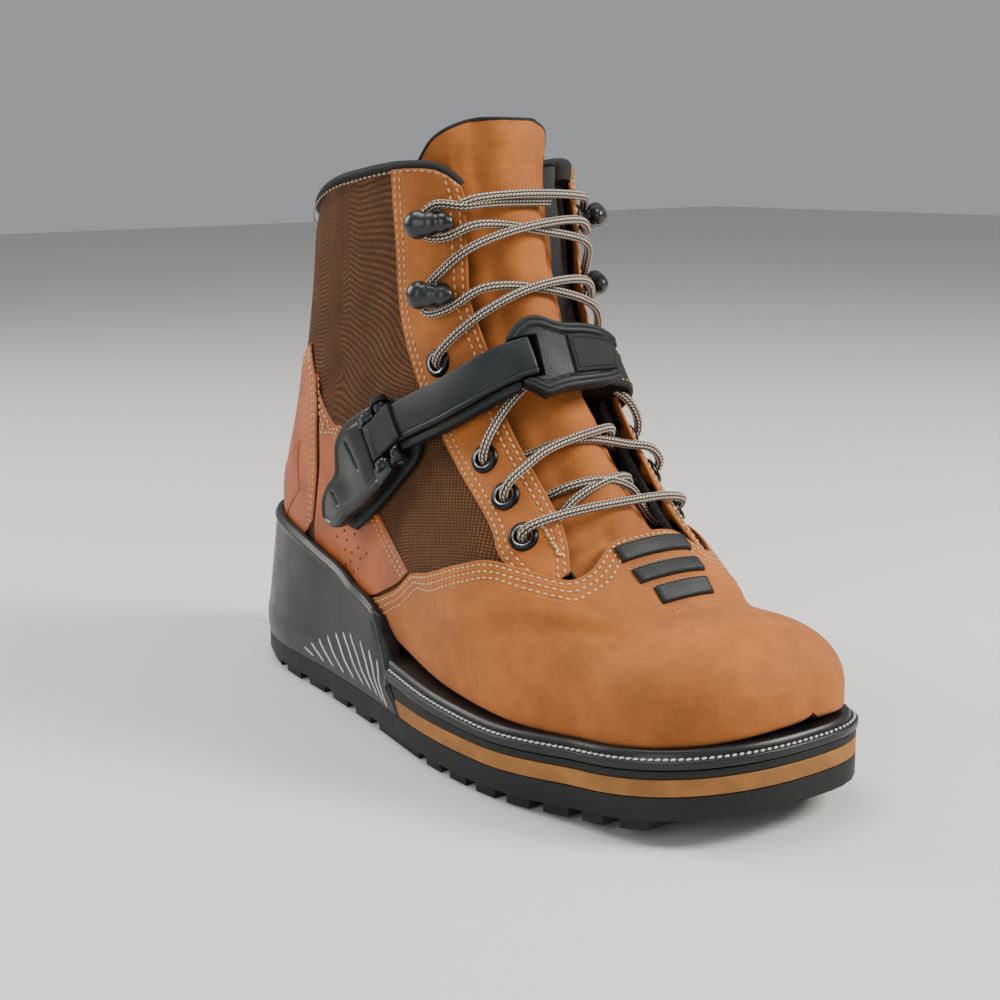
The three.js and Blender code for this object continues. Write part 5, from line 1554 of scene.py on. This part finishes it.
def make_medial_strap():
    def face(t, x, half, near, far):
        inside = np.minimum(half - np.abs(x), np.minimum(near, far))
        seam = -0.25 * np.exp(-((half - np.abs(x) - 2.0) / 0.4) ** 2)
        return 0.8 + edge_round(inside, 0.7) + seam

    bm = plaque(MEDIAL_RUN, 0.0, 1.0, lambda t, w: w, face, -0.8, 120, 30)
    keep(bm, "medial_strap_leather", "piping", replaces=("medial_strap",), sharp=45)
    t = np.linspace(0.1, 0.99, 90)
    centre, side, n, w = run_frames(MEDIAL_RUN, t)
    lines = [(centre + side * (k * (w - 2.0))[:, None] + n * 0.85, n) for k in (-1, 1)]
    stitches("medial_strap_stitching", lines, "dark_thread")


HALF_WINDOW = STRAP_WIDTH / 2 + 0.8
BOSS = 3
LEVER_UPPER = [(-48.6, -6), (-47.6, -2.4), (-44, 1.4), (-38, 3.2), (-32, 4.0), (-29, 6.2), (-26.8, 9.2),
               (-23.5, 13.2), (-18, 16), (-12, 16.6), (-6, 16), (0, 14.8), (4.8, 13.6)]
LEVER_LOWER = [(-48.6, -6), (-47.8, -9.6), (-45.4, -12.6), (-41, -14.6), (-36, -15.3), (-31, -15),
               (-22, -16.2), (-12, -16.5), (-4, -16), (4.8, -14.8)]


def buckle_frame():
    """The buckle's own axes at the strap pin: x up the strap, y along the pin, z outwards."""
    z = Vector(outward(0.582, 77))
    x = Vector((0.03, -0.781, 0.624))
    x = (x - z * x.dot(z)).normalized()
    place = Vector(last(0.582, 77, 7.2)) * MM
    return Matrix.Translation(place) @ Matrix((x, z.cross(x), z)).transposed().to_4x4()


def block_on_buckle(a, low_side, high_side, face, low, columns=40):
    """A moulded block between two side lines, with a shaped face, in the buckle's axes."""
    t = 0.5 - 0.5 * np.cos(np.linspace(0, math.pi, columns + 1))
    b = low_side[:, None] + (high_side - low_side)[:, None] * t[None, :]
    a_grid = np.broadcast_to(a[:, None], b.shape)
    slope_low = np.hypot(1, np.gradient(low_side, a))[:, None]
    slope_high = np.hypot(1, np.gradient(high_side, a))[:, None]
    inside = np.minimum((b - low_side[:, None]) / slope_low, (high_side[:, None] - b) / slope_high)
    z = np.maximum(face(a_grid, b, inside), low + 0.2)
    top = np.stack([a_grid, b, z], -1)
    foot = np.full_like(z, low)
    bottom = np.stack([a_grid, b, foot], -1)
    rows = np.concatenate([bottom[:, :1], top, bottom[:, -1:]], 1)
    first, final = rows[:1].copy(), rows[-1:].copy()
    first[..., 2] = low
    final[..., 2] = low
    bm = lay(np.concatenate([first, rows, final]))
    bmesh.ops.holes_fill(bm, edges=[e for e in bm.edges if e.is_boundary], sides=0)
    bmesh.ops.recalc_face_normals(bm, faces=bm.faces)
    return bm


def buckle_cylinder(bm, a, c, start, end, radius):
    """A round bar along the pin's direction, with rounded rims, added to a bmesh."""
    bar = bmesh.new()
    bmesh.ops.create_cone(bar, cap_ends=True, segments=40, radius1=radius * MM, radius2=radius * MM,
                          depth=(end - start) * MM)
    near_end = 0.49 * (end - start) * MM
    rims = [e for e in bar.edges if all(abs(v.co.z) > near_end for v in e.verts)
            and abs(e.verts[0].co.z - e.verts[1].co.z) < 1e-6]
    bmesh.ops.bevel(bar, geom=rims, offset=0.35 * MM, segments=3, profile=0.5, affect="EDGES", material=-1)
    turn = Matrix.Rotation(math.pi / 2, 4, "X")
    bar.transform(Matrix.Translation((a * MM, (start + end) / 2 * MM, c * MM)) @ turn)
    merge_into(bm, bar)


def make_lever():
    """The lever: a domed plate with finger slots, two arms beside the barrel, knuckles and bosses."""
    a = np.concatenate([[-48.58, -48.45, -48.1, -47.5], np.linspace(-46.7, -5.6, 78), [-5.2, -4.85, -4.7]])

    def dome(a_grid, b, inside):
        ridge = 0.8 * smooth((a_grid + 47) / 12) * smooth((-3 - a_grid) / 10)
        rim = 0.5 * np.exp(-((inside - 1.4) / 0.8) ** 2) - 0.35 * np.exp(-((inside - 3.2) / 0.6) ** 2)
        slots = -0.9 * np.exp(-((a_grid + 14.5 + 0.12 * b) / 0.55) ** 2)
        slots = slots * smooth((7.5 - np.abs(b - 3)) / 0.8)
        lower_slot = 0.8 * np.exp(-((a_grid + 36 + 0.2 * b) / 0.5) ** 2)
        slots = slots - lower_slot * smooth((4 - np.abs(b + 5)) / 0.8)
        dip = -0.9 * np.exp(-(((a_grid + 25) / 9) ** 2 + ((b + 1) / 8) ** 2))
        barrel = edge_round(-4.7 - a_grid, 1.2)
        return 2.0 + ridge + rim + slots + dip + edge_round(inside, 2.2) + barrel

    bm = block_on_buckle(a, along(LEVER_LOWER, a), along(LEVER_UPPER, a), dome, -1.8, 60)
    arm = np.linspace(-5.2, 4.8, 16)
    window = np.full(16, HALF_WINDOW)
    for low_side, high_side in ((along(LEVER_LOWER, arm), -window), (window, along(LEVER_UPPER, arm))):
        flat = lambda a_grid, b, inside: 2.0 + edge_round(inside, 1.4) + edge_round(4.9 - a_grid, 1.4)
        merge_into(bm, block_on_buckle(arm, low_side, high_side, flat, -1.8, 14))
    for k in (-1, 1):
        inner, outer = sorted((k * HALF_WINDOW, k * (HALF_WINDOW + 3.4)))
        buckle_cylinder(bm, 0, 0, inner, outer, 3.5)
        inner, outer = sorted((k * HALF_WINDOW, k * (HALF_WINDOW + BOSS)))
        buckle_cylinder(bm, 9, -0.9, inner, outer, 2.8)
    bm.transform(buckle_frame())
    keep(bm, "buckle_lever_moulding", "gloss", "lever", ("buckle_lever",), sharp=50)


def make_buckle():
    make_strap()
    make_shield()
    make_medial_strap()
    make_lever()
    refined("strap_pin", "steel", 0.2, 2, "lever")
    refined("buckle_base", "matt", 0.4, 2)
    refined("buckle_axle", "steel", 0.2, 2)
    for k in (1, 2):
        refined(f"base_rivet_{k}", "gunmetal", 0.4, 3)
        refined(f"medial_rivet_{k}", "gunmetal", 0.4, 3)


def make_inside():
    refined("insole_board", "board", 0.2, 1)
    refined("shank", "steel", 0.1, 1)
    refined("footbed", "lining", 0.6, 2)
    refined("toe_cap_steel", "steel", 0.2, 1)
    refined("toe_lining", "lining", 0.2, 1)


# ---------------------------------------------------------------- stage



def make_stage():
    bm = bmesh.new()
    bmesh.ops.create_grid(bm, x_segments=1, y_segments=1, size=4)
    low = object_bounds()[0].z
    bm.transform(Matrix.Translation((0, 0, low - 0.0002)))
    mesh = bpy.data.meshes.new("floor")
    bm.to_mesh(mesh)
    bm.free()
    mesh.materials.append(finish("floor"))
    floor = bpy.data.objects.new("floor", mesh)
    bpy.context.scene.collection.objects.link(floor)
    floor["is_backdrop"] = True
    lamps = [
        ("key", (0.75, -0.85, 0.95), 0.5, 30, (1.0, 0.965, 0.92)),
        ("fill", (-1.2, -0.6, 0.55), 0.9, 8, (0.93, 0.96, 1.0)),
        ("top", (-0.15, 0.15, 1.3), 0.7, 11, (1, 1, 1)),
        ("rim", (-0.7, 1.0, 0.7), 0.6, 12, (1.0, 0.97, 0.94)),
    ]
    target = Vector((0, 0, 0.1))
    for name, place, size, power, colour in lamps:
        data = bpy.data.lights.new(name, "AREA")
        data.size = size
        data.energy = power
        data.color = colour
        lamp = bpy.data.objects.new(name, data)
        lamp.location = place
        lamp.rotation_mode = "QUATERNION"
        lamp.rotation_quaternion = (target - Vector(place)).to_track_quat("-Z", "Y")
        bpy.context.scene.collection.objects.link(lamp)
    world = bpy.data.worlds.new("studio")
    world.use_nodes = True
    world.node_tree.nodes["Background"].inputs[0].default_value = (0.8, 0.82, 0.85, 1)
    world.node_tree.nodes["Background"].inputs[1].default_value = 0.42
    bpy.context.scene.world = world


def make_camera():
    azimuth, elevation, roll = -0.64009, 0.21505, -0.0091477
    back = Vector((math.sin(azimuth) * math.cos(elevation), -math.cos(azimuth) * math.cos(elevation),
                   math.sin(elevation)))
    target = Vector((0.20748, 0.28738, 0.01121))
    right = (-back).cross(Vector((0, 0, 1))).normalized()
    up = right.cross(-back)
    r = right * math.cos(roll) + up * math.sin(roll)
    u = -right * math.sin(roll) + up * math.cos(roll)
    data = bpy.data.cameras.new("camera")
    data.sensor_width = 36
    data.lens = 58.113
    data.clip_start = 0.01
    camera = bpy.data.objects.new("camera", data)
    camera.matrix_world = Matrix.Translation(target + back) @ Matrix((r, u, back)).transposed().to_4x4()
    bpy.context.scene.collection.objects.link(camera)
    bpy.context.scene.camera = camera


# ---------------------------------------------------------------- add-on


def operator(name, label, doc, work):
    """One add-on button that makes a piece or a group of like pieces."""
    def execute(self, context):
        work()
        return {"FINISHED"}

    members = {"bl_idname": "boot." + name, "bl_label": label, "__doc__": doc, "execute": execute}
    return type("BOOT_OT_" + name, (bpy.types.Operator,), members)


def both_sides(make):
    for word, side in (("lateral", 1), ("medial", -1)):
        make(word, side)


OPERATORS = [
    operator("camera", "Camera", "Places the camera", make_camera),
    operator("lace", "Lace", "Threads the braided lace", make_lace),
    operator("sole", "Sole layers", "Makes the welt, midsole and stripe", make_sole_layers),
    operator("outsole", "Outsole", "Makes the outsole and its lugs", make_outsole),
    operator("heel_cup", "Heel cup", "Makes the moulded heel cup", make_heel_cup),
    operator("inside", "Inside", "Finishes the board, shank, footbed and toe cap", make_inside),
    operator("linings", "Linings", "Makes the quarter lining", make_linings),
    operator("quarters", "Quarters", "Makes the woven quarters", lambda: both_sides(make_quarter)),
    operator("counters", "Counters", "Makes the leather counters", lambda: both_sides(make_counter)),
    operator("backstay", "Backstay", "Makes the backstay and its patch", make_back),
    operator("eyestays", "Eyestays", "Makes the eyestays", lambda: both_sides(make_eyestay)),
    operator("vamp", "Vamp", "Makes the vamp", make_vamp),
    operator("tongue", "Tongue", "Makes the padded tongue", make_tongue),
    operator("collar", "Collar", "Makes the rolled collar", make_collar),
    operator("bars", "Vamp bars", "Makes the three moulded bars", make_bars),
    operator("eyelets", "Eyelets", "Makes the eyelets", make_eyelets),
    operator("hooks", "Hooks", "Makes the speed hooks", make_hooks),
    operator("buckle", "Buckle", "Makes the instep buckle", make_buckle),
    operator("stage", "Stage", "Makes the floor and the lights", make_stage),
]


class BOOT_PT_panel(bpy.types.Panel):
    """Lists the boot's pieces in the 3D view's sidebar."""

    bl_label = "Work Boot"
    bl_idname = "BOOT_PT_panel"
    bl_space_type = "VIEW_3D"
    bl_region_type = "UI"
    bl_category = "Work Boot"

    def draw(self, context):
        for settings in (context.scene.boot_sizes, context.scene.boot_colours):
            for key in settings.__annotations__:
                self.layout.prop(settings, key)
        for made in OPERATORS:
            self.layout.operator(made.bl_idname)


def register():
    for made in (BootSizes, BootColours, *OPERATORS, BOOT_PT_panel):
        bpy.utils.register_class(made)
    bpy.types.Scene.boot_sizes = bpy.props.PointerProperty(type=BootSizes)
    bpy.types.Scene.boot_colours = bpy.props.PointerProperty(type=BootColours)


def unregister():
    del bpy.types.Scene.boot_colours
    del bpy.types.Scene.boot_sizes
    for made in (BOOT_PT_panel, *reversed(OPERATORS), BootColours, BootSizes):
        bpy.utils.unregister_class(made)


def main():
    register()
    for made in OPERATORS:
        group, name = made.bl_idname.split(".")
        getattr(getattr(bpy.ops, group), name)()


if __name__ == "__main__":
    main()
